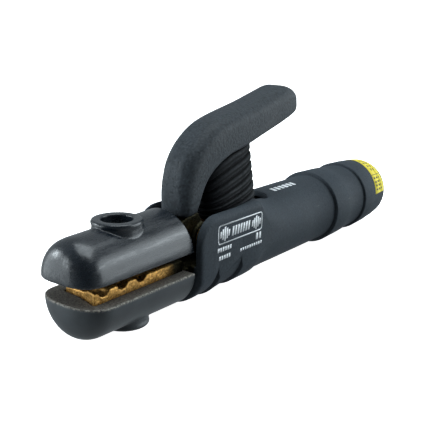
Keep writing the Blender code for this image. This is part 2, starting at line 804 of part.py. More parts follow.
def handle_rings():
    """Sections of the handle's outside: cheeks and collar, the change to a round tube, and the rings."""
    rings = []
    for distance, belly in CHEEK_STATIONS:
        y = CHEEK_FRONT_Y + distance
        half_width = CHEEK_HALF_WIDTH - (0.6 if distance == 0.0 else 0.0)
        rings.append(handle_section(y, belly, half_width, cheek_top(y), COLLAR_CORNER))
    for y, belly in COLLAR_STATIONS:
        rings.append(handle_section(y, belly, CHEEK_HALF_WIDTH, COLLAR_TOP_Z, COLLAR_CORNER))
    for distance, belly, half_width, top, corner, drop in NECK_STATIONS:
        rings.append(handle_section(TUBE_START_Y + distance, belly, half_width, top, corner, drop))
    for y, radius in TUBE_STATIONS:
        rings.append(handle_section(y, radius, radius, radius, radius, TUBE_DROP))
    return rings


def slot_outline():
    """The slot between the cheeks, seen from above: wide at the front, rounded at its closed end."""
    half = [(FORK_HALF_WIDTH, CHEEK_FRONT_Y - 5.0), (FORK_HALF_WIDTH, -30.0), (12.2, -17.0), (9.4, -9.0)]
    half.append((SLOT_HALF_WIDTH, -3.0))
    centre_x = SLOT_HALF_WIDTH - SLOT_CORNER
    centre_y = SLOT_END_Y - SLOT_CORNER
    half += arc(centre_x, centre_y, SLOT_CORNER, SLOT_CORNER, 0.0, 90.0, 5)
    return half + [(-x, y) for x, y in reversed(half)]


def handle():
    """Fork cheeks, stepped collar and tube in one moulding, hollow from end to end."""
    shell = loft(handle_rings())
    bore_end = HANDLE_REAR_Y - INLET_WALL
    screw_start = (0, HANDLE_SCREW_Y, -30.0)
    screw_seat = (0, HANDLE_SCREW_Y, HANDLE_SCREW_SEAT_Z)
    cut(
        shell,
        cylinder((0, CHEEK_FRONT_Y - 5.0, 0), (0, bore_end, 0), HANDLE_BORE_RADIUS, 32),
        cylinder((0, bore_end - 1.0, -TUBE_DROP), (0, HANDLE_REAR_Y + 5.0, -TUBE_DROP), INLET_RADIUS, 32),
        prism(slot_outline(), -1.0, 30.0),
        cylinder(screw_start, screw_seat, HANDLE_SCREW_HEAD_RADIUS + GAP, 24),
        cylinder(screw_start, (0, HANDLE_SCREW_Y, -10.0), HANDLE_SCREW_RADIUS + SCREW_GAP, 20),
    )
    return name_part(shell, "handle", "moulded_black", TOOL_AXIS)


def handle_screw():
    """The screw under the collar that holds the handle on the casting's shank."""
    y = HANDLE_SCREW_Y
    head_top = HANDLE_SCREW_SEAT_Z - GAP
    head_bottom = head_top - HANDLE_SCREW_HEAD_HEIGHT
    screw = cylinder((0, y, head_top), (0, y, head_bottom), HANDLE_SCREW_HEAD_RADIUS, 24)
    join(screw, cylinder((0, y, head_top - 0.5), (0, y, -1.5), HANDLE_SCREW_RADIUS, 20))
    cut(screw, box((-6.0, y - 0.6, head_bottom - 1.0), (6.0, y + 0.6, head_bottom + 1.1)))
    return name_part(screw, "handle_screw", "steel", TOOL_AXIS)


# ---------------------------------------------------------------- spring, seats and boot


def spring_seat_lower():
    """An insulating plate in the slot, on the shank's rib, with a spigot that centres the spring."""
    foot, _, up = spring_axis()
    plate_top = SPRING_FOOT[1] - GAP - SEAT_THICKNESS + 0.6
    plate = box(
        (-SEAT_PLATE_HALF_WIDTH, SEAT_PLATE_FRONT_Y, SEAT_PLATE_BOTTOM_Z),
        (SEAT_PLATE_HALF_WIDTH, SEAT_PLATE_REAR_Y, plate_top),
    )
    join(
        plate,
        cylinder(foot - up * 1.6, foot - up * GAP, SEAT_RADIUS),
        cylinder(foot - up * 1.0, foot + up * SPIGOT_HEIGHT, SPIGOT_RADIUS),
    )
    return name_part(plate, "spring_seat_lower", "insulating_board", TOOL_AXIS)


def spring_seat_upper():
    """The cup under the lever that the spring pushes on."""
    _, head, up = spring_axis()
    seat = cylinder(head, head + up * SEAT_THICKNESS, SEAT_RADIUS)
    join(seat, cylinder(head + up * 0.5, head - up * SPIGOT_HEIGHT, SPIGOT_RADIUS))
    return name_part(seat, "spring_seat_upper", "insulating_board", LEVER_PIVOT)


def spring():
    """A compression spring with round wire, wound about the line between the two seats."""
    foot, head, up = spring_axis()
    across = Vector((1.0, 0.0, 0.0))
    beside = up.cross(across)
    low = foot + up * (SPRING_WIRE_RADIUS + 0.1)
    high = head - up * (SPRING_WIRE_RADIUS + GAP)
    count = round(SPRING_TURNS * SPRING_POINTS_PER_TURN)
    curve = bpy.data.curves.new("spring", "CURVE")
    curve.dimensions = "3D"
    curve.bevel_depth = SPRING_WIRE_RADIUS * MM
    curve.bevel_resolution = 2
    curve.use_fill_caps = True
    line = curve.splines.new("POLY")
    line.points.add(count)
    for i, point in enumerate(line.points):
        share = i / count
        angle = math.tau * SPRING_TURNS * share
        centre = low.lerp(high, share)
        place = centre + (across * math.cos(angle) + beside * math.sin(angle)) * SPRING_RADIUS
        point.co = (*metres(place), 1.0)
    coil = bpy.data.objects.new("spring", curve)
    PARTS.objects.link(coil)
    curve.materials.append(new_material("spring", "steel"))
    coil.parent = TOOL_AXIS
    return coil


def boot_top_z(y):
    """The height of the lever's underside above a place on the tool, between its stations."""
    under = [station[1] for station in LEVER_STATIONS]
    for (y0, z0), (y1, z1) in zip(under, under[1:]):
        if y <= y1:
            return z0 + (z1 - z0) * (y - y0) / (y1 - y0)
    return under[-1][1]


def boot_ring(share, inset):
    """One rounded ring of the boot. share is 0 at its base in the slot and 1 under the lever."""
    front = BOOT_FRONT_Y - BOOT_FRONT_LEAN * share + inset
    rear = BOOT_REAR_Y - BOOT_REAR_LEAN * share - inset
    half_width = BOOT_HALF_WIDTH - inset
    middle = (front + rear) / 2.0
    half_length = (rear - front) / 2.0
    points = []
    for i in range(BOOT_SIDES):
        angle = math.tau * i / BOOT_SIDES
        x = half_width * math.copysign(abs(math.cos(angle)) ** BOOT_ROUNDNESS, math.cos(angle))
        along = math.copysign(abs(math.sin(angle)) ** BOOT_ROUNDNESS, math.sin(angle))
        y = middle + half_length * along
        crowding = 1.0 + BOOT_FRONT_CROWDING * (1.0 - along) / 2.0
        rise = boot_top_z(y) - BOOT_TOP_CLEARANCE - BOOT_BASE_Z
        points.append((x, y, BOOT_BASE_Z + rise * math.copysign(abs(share) ** crowding, share)))
    return points


def spring_boot():
    """A rubber bellows, open at both ends, whose folds fan out from the slot to the lever."""
    rows = 2 * BOOT_FOLDS
    outer = [boot_ring(i / rows, BOOT_FOLD_DEPTH * (1 - i % 2)) for i in range(rows + 1)]
    boot = loft(outer)
    wall = BOOT_WALL + BOOT_FOLD_DEPTH
    hollow_shares = (-0.1, 0.2, 0.4, 0.6, 0.8, 1.08)
    cut(boot, loft([boot_ring(share, wall) for share in hollow_shares]))
    return name_part(boot, "spring_boot", "rubber", TOOL_AXIS)


# ---------------------------------------------------------------- the holder

clear_scene()
PARTS = new_collection("electrode_holder")
HELPERS = new_collection("helpers")
TOOL_AXIS = empty_at("tool_axis", (0.0, 0.0, AXIS_HEIGHT * MM))
LEVER_PIVOT = empty_at("lever_pivot", (0.0, PIVOT_Y * MM, PIVOT_Z * MM), TOOL_AXIS)

lower_jaw()
lower_jaw_insulator()
insulator_fixings("lower", LOWER_BOSS_Y, LOWER_BOSS_FLOOR_Z, -1, TOOL_AXIS)
pivot_pin()
pivot_rings()
cable_socket()
cable_sleeve()
cable_screws()
handle()
handle_screw()
spring_seat_lower()
spring()
spring_boot()

upper_jaw()
upper_jaw_insulator()
insulator_fixings("upper", UPPER_BOSS_Y, UPPER_BOSS_FLOOR_Z, 1, LEVER_PIVOT)
lever_sheath()
spring_seat_upper()
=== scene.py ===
"""Looks for a jaw-type electrode holder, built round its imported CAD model.

Sizes are in millimetres and MM turns them into metres. The tool lies along Y with its jaws towards -Y and
its lever up, +Z. Points are given with their height above the handle's axis, as in the CAD source, and
place() puts them in the row frame.
"""

import json
import math

import bmesh
import bpy
from mathutils import Matrix, Vector, noise
from mathutils.kdtree import KDTree


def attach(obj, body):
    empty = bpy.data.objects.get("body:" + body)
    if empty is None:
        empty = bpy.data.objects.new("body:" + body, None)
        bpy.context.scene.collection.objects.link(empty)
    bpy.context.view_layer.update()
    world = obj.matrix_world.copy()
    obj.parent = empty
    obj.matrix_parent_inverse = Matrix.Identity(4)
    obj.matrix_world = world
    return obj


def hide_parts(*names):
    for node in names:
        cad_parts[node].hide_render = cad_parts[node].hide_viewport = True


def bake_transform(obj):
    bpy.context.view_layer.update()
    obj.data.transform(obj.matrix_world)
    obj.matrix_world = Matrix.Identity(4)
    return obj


MM = 0.001
AXIS_HEIGHT = 19.0

# Jaw insulators
UPPER_NOSE_Y = -112.2
LOWER_NOSE_Y = -110.5
UPPER_REAR_Y = -55.9
LOWER_REAR_Y = -57.0
NOSE_LENGTH = 10.5
NOSE_TIP = 0.02
NOSE_BLUNTNESS = 2.8
LOWER_NOSE_BLUNTNESS = 2.45
UPPER_HALF_WIDTH = 13.8
UPPER_EDGE_Z = 5.0
UPPER_CROWN_Z = 19.2
UPPER_CROWN_RISE = 1.6
UPPER_REAR_LEAN = 0.22
REAR_WALL = 1.8
REAR_HOLLOW_FRONT_Y = -72.0
LOWER_HALF_WIDTH = 15.3
LOWER_RIM_Z = -2.6
LOWER_BELLY_Z = -17.9
UPPER_BOSS_Y = -83.5
LOWER_BOSS_Y = -80.5
BOSS_FOOT = 11.0
BOSS_RADIUS = 9.5
BOSS_NECK_RADIUS = 9.15
BOSS_LIP = 1.7
BOSS_HOLE_RADIUS = 5.9
UPPER_BOSS_Z = 21.9
LOWER_BOSS_Z = -19.0
UPPER_BOSS_FLOOR_Z = 12.0
LOWER_BOSS_FLOOR_Z = -12.6
SCREW_HOLE_RADIUS = 2.8
# Pockets for the jaws. The lower one's front follows its casting and runs a little on the slant
POCKET_REAR_Y = -50.0
UPPER_POCKET_HALF_WIDTH = 7.3
UPPER_POCKET_FRONT_Y = -102.3
UPPER_POCKET_Z = 9.3
LOWER_POCKET_HALF_WIDTH = 9.3
LOWER_POCKET_FRONT = ((9.3, -104.6), (4.65, -102.9), (-2.1, -101.2), (-9.3, -101.0))
LOWER_POCKET_Z = -9.3
# How far cutters reach: just past an open side or end, and well past the tool
CUT_THROUGH = 5.0
CUT_PAST = 30.0
# The lower insulator's rubbed rim: its wavy edge, where it starts to fade below the top, and over how much
RIM_WAVE = 0.15
RIM_WAVES_PER_METRE = 900.0
RIM_START = 0.25
RIM_FADE = 0.35

# Handle
CHEEK_FRONT_Y = -55.5
CHEEK_CORNER = 10.0
CHEEK_HALF_WIDTH = 17.0
COLLAR_CORNER = 2.8
COLLAR_TOP_Z = 17.9
FORK_HALF_WIDTH = 14.2
SLOT_HALF_WIDTH = 8.3
SLOT_END_Y = 6.2
SLOT_CORNER = 5.0
STEP_ONE_Y = -44.1
STEP_TWO_Y = -28.4
COLLAR_END_Y = -15.0
TUBE_START_Y = -10.5
TUBE_RADIUS = 16.4
TUBE_DROP = 0.8
RING_A_Y = 52.0
RING_A_RADIUS = 18.0
RING_B_Y = 83.4
RING_B_RADIUS = 17.7
HANDLE_REAR_Y = 112.2
HANDLE_BORE_RADIUS = 13.4
INLET_RADIUS = 9.5
INLET_WALL = 4.5
HANDLE_SCREW_Y = -20.0
HANDLE_SCREW_SEAT_Z = -15.4
HANDLE_SCREW_HOLE_TOP_Z = -10.0
HANDLE_SCREW_HEAD_HOLE_RADIUS = 4.6
HANDLE_SCREW_HOLE_RADIUS = 2.8
HANDLE_EDGE_ROUNDING = 0.35
SHARP_EDGE_DEG = 50.0

# Lever, spring and boot
LEVER_STATIONS = (
    ((-52.8, 16.6), (-45.4, 18.0), 7.4),
    ((-53.6, 25.0), (-42.9, 24.2), 7.8),
    ((-52.9, 31.6), (-41.0, 28.0), 8.0),
    ((-50.3, 38.0), (-37.6, 31.8), 8.3),
    ((-44.9, 44.2), (-32.3, 35.2), 8.6),
    ((-36.4, 49.8), (-25.0, 38.0), 8.8),
    ((-25.8, 53.2), (-16.4, 39.8), 9.0),
    ((-6.6, 57.0), (-2.2, 43.4), 9.0),
    ((9.0, 60.6), (12.0, 47.1), 9.0),
    ((16.8, 62.3), (18.9, 49.0), 8.8),
    ((22.2, 61.5), (23.8, 50.5), 8.1),
    ((26.0, 59.6), (26.8, 52.3), 6.5),
    ((28.7, 57.4), (28.9, 54.5), 4.0),
)
LEVER_TOP_CORNER = 6.0
LEVER_UNDER_CORNER = 1.6
SPRING_FOOT = (-15.0, 11.7)
SPRING_HEAD = (-19.6, 36.0)
SPRING_RADIUS = 5.2
SPRING_WIRE_RADIUS = 1.0
SPRING_TURNS = 5.5
SPRING_LOWER_GAP = 0.1
SPRING_UPPER_GAP = 0.3
COIL_POINTS_PER_TURN = 24
WIRE_SIDES = 12
BOOT_FRONT_Y = -36.2
BOOT_FRONT_LEAN = 3.6
BOOT_REAR_Y = -0.6
BOOT_REAR_LEAN = 7.0
BOOT_ROUNDNESS = 0.7
BOOT_FRONT_CROWDING = 0.8
BOOT_HALF_WIDTH = 9.0
BOOT_BASE_Z = 12.0
BOOT_FOLDS = 7
BOOT_FOLD_DEPTH = 1.9
BOOT_ROWS_PER_FOLD = 10
BOOT_CREST_POWER = 0.55
BOOT_LINE_DEPTH = 0.35
BOOT_LINE_WIDTH = 0.1
BOOT_WALL = 0.8
BOOT_SIDES = 80
BOOT_TOP_OVERLAP = 0.3

# Camera, found by fitting the handle's rings, the upper boss and the cheek's printed rectangle
CAMERA_PLACE = (181.1, -269.1, 113.8)
CAMERA_AZIMUTH = 36.8
CAMERA_ELEVATION = 15.2
CAMERA_ROLL = 1.2
CAMERA_LENS = 63.68
SENSOR = 36.0

# Grain of the remeshed skins, and rounds of smoothing
MOULDED_GRAIN = (0.36, 4)
CAST_GRAIN = (0.45, 2)
# Lumps on a casting: height in millimetres, and how many to a metre
CAST_LUMPS = ((0.16, 420.0), (0.1, 1100.0))

# Printing: thickness, and how far above the surface its middle lies
PRINT_THICKNESS = 0.06
CHEEK_PRINT_LIFT = 0.02
TUBE_PRINT_LIFT = 0.05
STICKER_RULES_LIFT = 0.11

# Light. The sizes of the room are in metres
ROOM_SIZE = 12.0
WALL_DISTANCE = 5.0
LIGHT_TINT = (0.86, 0.95, 1.0, 1.0)
DIM_SIDE = (0.55, -0.75, 0.25)
SKY_BRIGHT = 0.45
SKY_DIM = 0.08

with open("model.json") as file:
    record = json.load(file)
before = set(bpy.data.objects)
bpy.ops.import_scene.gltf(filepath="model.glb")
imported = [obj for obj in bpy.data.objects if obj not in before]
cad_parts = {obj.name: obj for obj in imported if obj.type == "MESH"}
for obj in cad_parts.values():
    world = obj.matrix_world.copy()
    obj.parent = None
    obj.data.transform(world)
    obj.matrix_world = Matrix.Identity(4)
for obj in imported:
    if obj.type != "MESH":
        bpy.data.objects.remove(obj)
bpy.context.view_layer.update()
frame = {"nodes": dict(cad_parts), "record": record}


def place(point):
    """A point given about the handle's axis in millimetres, in the row frame in metres."""
    x, y, z = point
    return Vector((x, y, z + AXIS_HEIGHT)) * MM


# ---------------------------------------------------------------- materials


class Paint:
    """A material with a Principled shader, and short names for adding nodes to it."""

    def __init__(self, name, colour, roughness, metallic=0.0):
        self.material = bpy.data.materials.new(name)
        self.material.use_nodes = True
        self.tree = self.material.node_tree
        self.shader = self.tree.nodes["Principled BSDF"]
        self.shader.inputs["Base Color"].default_value = (*colour, 1.0)
        self.shader.inputs["Roughness"].default_value = roughness
        self.shader.inputs["Metallic"].default_value = metallic
        self.material.diffuse_color = (*colour, 1.0)
        self.coords = self.tree.nodes.new("ShaderNodeTexCoord").outputs["Object"]

    def link(self, source, target):
        self.tree.links.new(source, target)

    def noise(self, size_mm, detail=2.0, stretch=(1.0, 1.0, 1.0), rough=0.5):
        """Noise whose blobs are about size_mm across, longer along an axis with a stretch above 1."""
        source = self.coords
        if stretch != (1.0, 1.0, 1.0):
            mapping = self.tree.nodes.new("ShaderNodeMapping")
            mapping.inputs["Scale"].default_value = [1.0 / s for s in stretch]
            self.link(source, mapping.inputs["Vector"])
            source = mapping.outputs["Vector"]
        node = self.tree.nodes.new("ShaderNodeTexNoise")
        node.inputs["Scale"].default_value = 1.0 / (size_mm * MM)
        node.inputs["Detail"].default_value = detail
        node.inputs["Roughness"].default_value = rough
        self.link(source, node.inputs["Vector"])
        return node.outputs["Fac"]

    def ramp(self, source, low, high, low_value=0.0, high_value=1.0):
        """The source's values from low to high, stretched to run from low_value to high_value."""
        node = self.tree.nodes.new("ShaderNodeMapRange")
        node.inputs["From Min"].default_value = low
        node.inputs["From Max"].default_value = high
        node.inputs["To Min"].default_value = low_value
        node.inputs["To Max"].default_value = high_value
        self.link(source, node.inputs["Value"])
        return node.outputs["Result"]

    def times(self, first, second):
        node = self.tree.nodes.new("ShaderNodeMath")
        node.operation = "MULTIPLY"
        self.link(first, node.inputs[0])
        self.link(second, node.inputs[1])
        return node.outputs["Value"]

    def behind(self, low_y, high_y):
        """0 in front of low_y and 1 behind high_y, both in millimetres along the tool."""
        node = self.tree.nodes.new("ShaderNodeSeparateXYZ")
        self.link(self.coords, node.inputs["Vector"])
        return self.ramp(node.outputs["Y"], low_y * MM, high_y * MM)

    def attribute(self, name):
        node = self.tree.nodes.new("ShaderNodeAttribute")
        node.attribute_name = name
        return node.outputs["Fac"]

    def mix(self, share, first, second):
        """A colour between first and second, which are colours or other nodes' outputs."""
        node = self.tree.nodes.new("ShaderNodeMix")
        node.data_type = "RGBA"
        self.link(share, node.inputs["Factor"])
        sockets = [s for s in node.inputs if s.type == "RGBA"]
        for value, socket in zip((first, second), sockets):
            if isinstance(value, tuple):
                socket.default_value = (*value, 1.0)
            else:
                self.link(value, socket)
        return [s for s in node.outputs if s.type == "RGBA"][0]

    def colour(self, source):
        self.link(source, self.shader.inputs["Base Color"])

    def roughness(self, source):
        self.link(source, self.shader.inputs["Roughness"])

    def bump(self, height, depth_mm, strength=1.0):
        """Raises the surface by up to depth_mm where height is 1. Several calls add up."""
        node = self.tree.nodes.new("ShaderNodeBump")
        node.inputs["Strength"].default_value = strength
        node.inputs["Distance"].default_value = depth_mm * MM
        self.link(height, node.inputs["Height"])
        socket = self.shader.inputs["Normal"]
        if socket.is_linked:
            self.link(socket.links[0].from_socket, node.inputs["Normal"])
        self.link(node.outputs["Normal"], socket)


def toned(colour, share):
    """The same hue, brighter with a share above 1 and darker with one below it."""
    return tuple(c * share for c in colour)


def speckled_plastic(name, colour, roughness, shine, grain_mm, grain_depth, contrast, pale=(0.2, 0.2, 0.2)):
    """A moulded plastic with fine grain, cloudy tone, and sparse pale scuffs."""
    paint = Paint(name, colour, roughness)
    grain = paint.noise(grain_mm, 3.0)
    clouds = paint.noise(14.0, 3.0)
    base = paint.mix(paint.ramp(clouds, 0.35, 0.65), toned(colour, 0.86), toned(colour, 1.12))
    dark, light = toned(colour, 1.0 - contrast), toned(colour, 1.0 + contrast)
    speck = paint.mix(paint.ramp(grain, 0.35, 0.7), dark, light)
    both = paint.mix(paint.ramp(paint.noise(grain_mm * 1.7, 2.0), 0.3, 0.7), base, speck)
    scuffs = paint.ramp(paint.noise(1.6, 4.0, (1.0, 5.0, 1.0)), 0.72, 0.8, 0.0, 0.35)
    paint.colour(paint.mix(scuffs, both, pale))
    paint.roughness(paint.ramp(clouds, 0.3, 0.7, roughness - 0.05, roughness + 0.07))
    paint.bump(grain, grain_depth)
    paint.shader.inputs["Specular IOR Level"].default_value = shine
    return paint.material


def gloss_insulator():
    """Glossy dark moulding: rubbed patches, hair scratches and a faintly wavy skin."""
    colour = (0.005, 0.008, 0.012)
    paint = Paint("gloss_black", colour, 0.26)
    patches = paint.noise(7.0, 4.0, (1.0, 2.5, 1.0), 0.6)
    fine = paint.noise(0.5, 3.0)
    tone = paint.mix(paint.ramp(patches, 0.35, 0.7), toned(colour, 0.85), toned(colour, 1.3))
    hair = paint.ramp(paint.noise(0.5, 2.0, (1.0, 7.0, 1.0)), 0.74, 0.78, 0.0, 0.5)
    worn = paint.times(paint.attribute("edge"), paint.ramp(paint.noise(0.9, 3.0), 0.45, 0.62))
    paint.colour(paint.mix(worn, paint.mix(hair, tone, (0.06, 0.063, 0.066)), (0.09, 0.09, 0.086)))
    paint.roughness(paint.ramp(paint.noise(1.1, 5.0, (1.0, 9.0, 1.0), 0.65), 0.32, 0.72, 0.17, 0.4))
    paint.bump(paint.noise(6.0, 2.0, (1.0, 3.0, 1.0)), 0.07)
    paint.bump(paint.noise(0.9, 3.0, (1.0, 10.0, 1.0)), 0.012)
    paint.bump(fine, 0.006)
    paint.shader.inputs["Specular IOR Level"].default_value = 0.65
    return paint.material


def satin_insulator():
    """Satin dark moulding whose upper rim is rubbed rough, brown-grey, with a pale line along its edge."""
    colour = (0.030, 0.035, 0.039)
    paint = Paint("satin_black", colour, 0.42)
    clouds = paint.noise(8.0, 4.0)
    tone = paint.mix(paint.ramp(clouds, 0.35, 0.68), toned(colour, 0.85), toned(colour, 1.15))
    grit = paint.noise(0.75, 4.0, rough=0.7)
    rim = paint.mix(paint.ramp(grit, 0.34, 0.66), (0.024, 0.021, 0.018), (0.135, 0.12, 0.10))
    base = paint.mix(paint.attribute("rim"), tone, rim)
    worn = paint.times(paint.attribute("edge"), paint.ramp(paint.noise(0.9, 4.0, rough=0.7), 0.44, 0.58))
    paint.colour(paint.mix(worn, base, (0.36, 0.34, 0.3)))
    paint.roughness(paint.ramp(paint.attribute("rim"), 0.0, 1.0, 0.4, 0.85))
    paint.bump(paint.times(grit, paint.attribute("rim")), 0.22)
    paint.bump(paint.noise(0.5, 3.0), 0.01)
    return paint.material


def cast_brass(name, clean_to_shaded):
    """Rough sand-cast brass: bright gold grains over brown pits in front; behind, near-black tarnish and
    painted shade.
    """
    paint = Paint(name, (0.62, 0.36, 0.1), 0.5, 1.0)
    grain = paint.noise(0.8, 4.0, rough=0.7)
    tarnish = paint.noise(6.0, 3.0)
    bright = paint.mix(paint.ramp(grain, 0.36, 0.62), (0.22, 0.10, 0.025), (0.76, 0.44, 0.13))
    clean = paint.mix(paint.ramp(tarnish, 0.5, 0.72, 0.0, 0.5), bright, (0.42, 0.24, 0.08))
    # Painted shade and tarnish: behind the given place the brass is near black, where the casting lies in
    # shadow inside the insulators.
    tarnish_and_painted_shade = paint.mix(paint.ramp(grain, 0.36, 0.62), (0.010, 0.009, 0.005), (0.045, 0.040, 0.022))
    paint.colour(paint.mix(paint.behind(*clean_to_shaded), clean, tarnish_and_painted_shade))
    paint.roughness(paint.ramp(grain, 0.3, 0.7, 0.62, 0.36))
    paint.bump(grain, 0.16)
    return paint.material


def machined_metal(name, colour, roughness, line_stretch):
    """Turned or plated metal with fine tool lines."""
    paint = Paint(name, colour, roughness, 1.0)
    lines = paint.noise(0.35, 2.0, line_stretch)
    paint.colour(paint.mix(paint.ramp(lines, 0.3, 0.7), toned(colour, 0.8), toned(colour, 1.1)))
    paint.roughness(paint.ramp(lines, 0.3, 0.7, roughness - 0.06, roughness + 0.1))
    paint.bump(lines, 0.008)
    return paint.material


def insulating_board():
    colour = (0.16, 0.07, 0.032)
    paint = Paint("insulating_board", colour, 0.6)
    weave = paint.noise(0.8, 2.0, (3.0, 1.0, 1.0))
    paint.colour(paint.mix(paint.ramp(weave, 0.35, 0.65), toned(colour, 0.7), toned(colour, 1.3)))
    paint.bump(weave, 0.03)
    return paint.material


def boot_rubber():
    colour = (0.013, 0.0165, 0.0205)
    paint = Paint("boot_rubber", colour, 0.6)
    dust = paint.noise(1.3, 4.0, rough=0.65)
    # Dust on the rubber, lighter; on the folds' crests it also serves as a painted highlight.
    dust_and_highlight = paint.mix(paint.ramp(dust, 0.36, 0.7, 0.0, 0.8), colour, (0.060, 0.062, 0.065))
    # Painted highlight on the folds' crests, and painted shade, near black, in the creases and along each
    # crest's line.
    crest_highlight_crease_shade = paint.mix(paint.ramp(paint.attribute("crest"), 0.55, 0.98), (0.001, 0.0015, 0.002), dust_and_highlight)
    # Painted shade: the boot's front, under the lever, is near black.
    paint.colour(paint.mix(paint.behind(-38.0, -24.0), (0.0015, 0.002, 0.003), crest_highlight_crease_shade))
    paint.bump(paint.noise(0.4, 3.0), 0.02)
    paint.shader.inputs["Specular IOR Level"].default_value = 0.08
    return paint.material


def printed(name, colour, patchiness):
    """Screen-printed ink, a little thin in places."""
    paint = Paint(name, colour, 0.5)
    thin = paint.noise(0.8, 3.0)
    paint.colour(paint.mix(paint.ramp(thin, 0.55, 0.75, 0.0, patchiness), colour, (0.12, 0.13, 0.14)))
    return paint.material


GLOSS = gloss_insulator()
SATIN = satin_insulator()
# Both castings are painted near black behind the given places, as tarnish and painted shade; the upper one
# nearly all over.
CAST_LOWER = cast_brass("cast_brass", (-70.0, -62.0))
CAST_UPPER = cast_brass("brass_tarnish_painted_shade", (-116.0, -108.0))
BRASS = machined_metal("turned_brass", (0.72, 0.47, 0.17), 0.3, (6.0, 1.0, 6.0))
COPPER = machined_metal("copper", (0.72, 0.33, 0.18), 0.32, (1.0, 6.0, 1.0))
STEEL = machined_metal("steel", (0.52, 0.52, 0.54), 0.3, (4.0, 4.0, 1.0))
BOARD = insulating_board()
RUBBER = boot_rubber()
LEVER_SKIN = speckled_plastic(
    "grainy_black",
    (0.028, 0.034, 0.040),
    roughness=0.55,
    shine=0.25,
    grain_mm=1.0,
    grain_depth=0.22,
    contrast=0.6,
    pale=(0.1, 0.1, 0.1),
)
HANDLE_SKIN = speckled_plastic(
    "moulded_black",
    (0.036, 0.044, 0.0525),
    roughness=0.6,
    shine=0.12,
    grain_mm=0.8,
    grain_depth=0.06,
    contrast=0.3,
)
WHITE_INK = printed("white_ink", (0.78, 0.8, 0.82), 0.35)
YELLOW_FILM = printed("yellow_film", (0.80, 0.66, 0.03), 0.1)
DARK_INK = printed("dark_ink", (0.05, 0.045, 0.02), 0.1)


# ---------------------------------------------------------------- shapes


def new_object(name, points, faces):
    mesh = bpy.data.meshes.new(name)
    mesh.from_pydata(points, [], faces)
    obj = bpy.data.objects.new(name, mesh)
    bpy.context.scene.collection.objects.link(obj)
    return obj


def quads_between(rows, count, closed=False):
    """Quads that join rows of count points each. closed joins the last row to the first too."""
    faces = []
    for row in range(rows if closed else rows - 1):
        here = row * count
        following = (row + 1) % rows * count
        for i in range(count):
            j = (i + 1) % count
            faces.append((here + i, here + j, following + j, following + i))
    return faces


def loft(name, rings):
    """A closed skin through rings of equally many points, with a flat cap on each end."""
    count = len(rings[0])
    points = [place(point) for ring in rings for point in ring]
    faces = quads_between(len(rings), count)
    last = (len(rings) - 1) * count
    faces.append(tuple(reversed(range(count))))
    faces.append(tuple(range(last, last + count)))
    obj = new_object(name, points, faces)
    skin = bmesh.new()
    skin.from_mesh(obj.data)
    bmesh.ops.remove_doubles(skin, verts=skin.verts, dist=0.000001)
    bmesh.ops.recalc_face_normals(skin, faces=skin.faces)
    skin.to_mesh(obj.data)
    skin.free()
    return obj


def prism(name, outline, low_z, high_z):
    """An outline in X and Y, carried straight up."""
    return loft(name, [[(x, y, z) for x, y in outline] for z in (low_z, high_z)])


def box(low, high):
    """A block between two opposite corners, for cutting."""
    outline = ((low[0], low[1]), (high[0], low[1]), (high[0], high[1]), (low[0], high[1]))
    return prism("cutter", outline, low[2], high[2])


def rod(name, start, end, profile, sides=64):
    """A solid turned about the line from start to end. The profile's pairs are radius and share of length."""
    start, end = Vector(start), Vector(end)
    along = end - start
    across = along.orthogonal().normalized()
    beside = along.cross(across).normalized()
    rings = []
    for radius, share in profile:
        centre = start + along * share
        ring = []
        for i in range(sides):
            angle = math.tau * i / sides
            ring.append(centre + (across * math.cos(angle) + beside * math.sin(angle)) * radius)
        rings.append(ring)
    return loft(name, rings)


def cylinder(start, end, radius, sides=64):
    """A plain round bar between two points, for cutting."""
    return rod("cutter", start, end, ((radius, 0.0), (radius, 1.0)), sides)


def baked(obj):
    """Turns the object's modifiers into its mesh."""
    bpy.context.view_layer.update()
    evaluated = obj.evaluated_get(bpy.context.evaluated_depsgraph_get())
    mesh = bpy.data.meshes.new_from_object(evaluated)
    obj.modifiers.clear()
    obj.data = mesh
    mesh.name = obj.name
    return obj


def boolean(obj, others, operation):
    """Joins or cuts the object with the others in turn, and removes the others."""
    for other in others:
        modifier = obj.modifiers.new(operation, "BOOLEAN")
        modifier.operation = operation
        modifier.solver = "EXACT"
        modifier.object = other
    baked(obj)
    for other in others:
        bpy.data.objects.remove(other, do_unlink=True)
    return obj


def cut(obj, *cutters):
    return boolean(obj, cutters, "DIFFERENCE")


def join(obj, *others):
    return boolean(obj, others, "UNION")


def softened(obj, grain):
    """Rebuilds the mesh from small even quads and smooths it, which rounds every edge as a mould does."""
    voxel_mm, rounds = grain
    remesh = obj.modifiers.new("even", "REMESH")
    remesh.mode = "VOXEL"
    remesh.voxel_size = voxel_mm * MM
    smooth = obj.modifiers.new("smooth", "SMOOTH")
    smooth.factor = 0.5
    smooth.iterations = rounds
    return baked(obj)


def dress(obj, material, body, slot, *replaced):
    """Gives a finished piece its material and its body, and hides the CAD nodes that it stands for."""
    obj.data.materials.clear()
    obj.data.materials.append(material)
    obj.data.shade_smooth()
    if replaced:
        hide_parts(*replaced)
    if body:
        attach(obj, body)
    return obj


def arc(centre_x, centre_z, radius_x, radius_z, start_deg, end_deg, steps):
    """Points on an arc, both ends included."""
    points = []
    for i in range(steps + 1):
        angle = math.radians(start_deg + (end_deg - start_deg) * i / steps)
        points.append((centre_x + radius_x * math.cos(angle), centre_z + radius_z * math.sin(angle)))
    return points


def mirrored(half):
    """A whole outline from its +X half, which starts and ends at the plane x = 0."""
    return half + [(-x, z) for x, z in reversed(half[1:-1])]


def superellipse(distance, length, bluntness):
    """How much of its full size a blunt nose has at this distance behind its tip."""
    if distance >= length:
        return 1.0
    return (1.0 - (1.0 - distance / length) ** bluntness) ** (1.0 / bluntness)


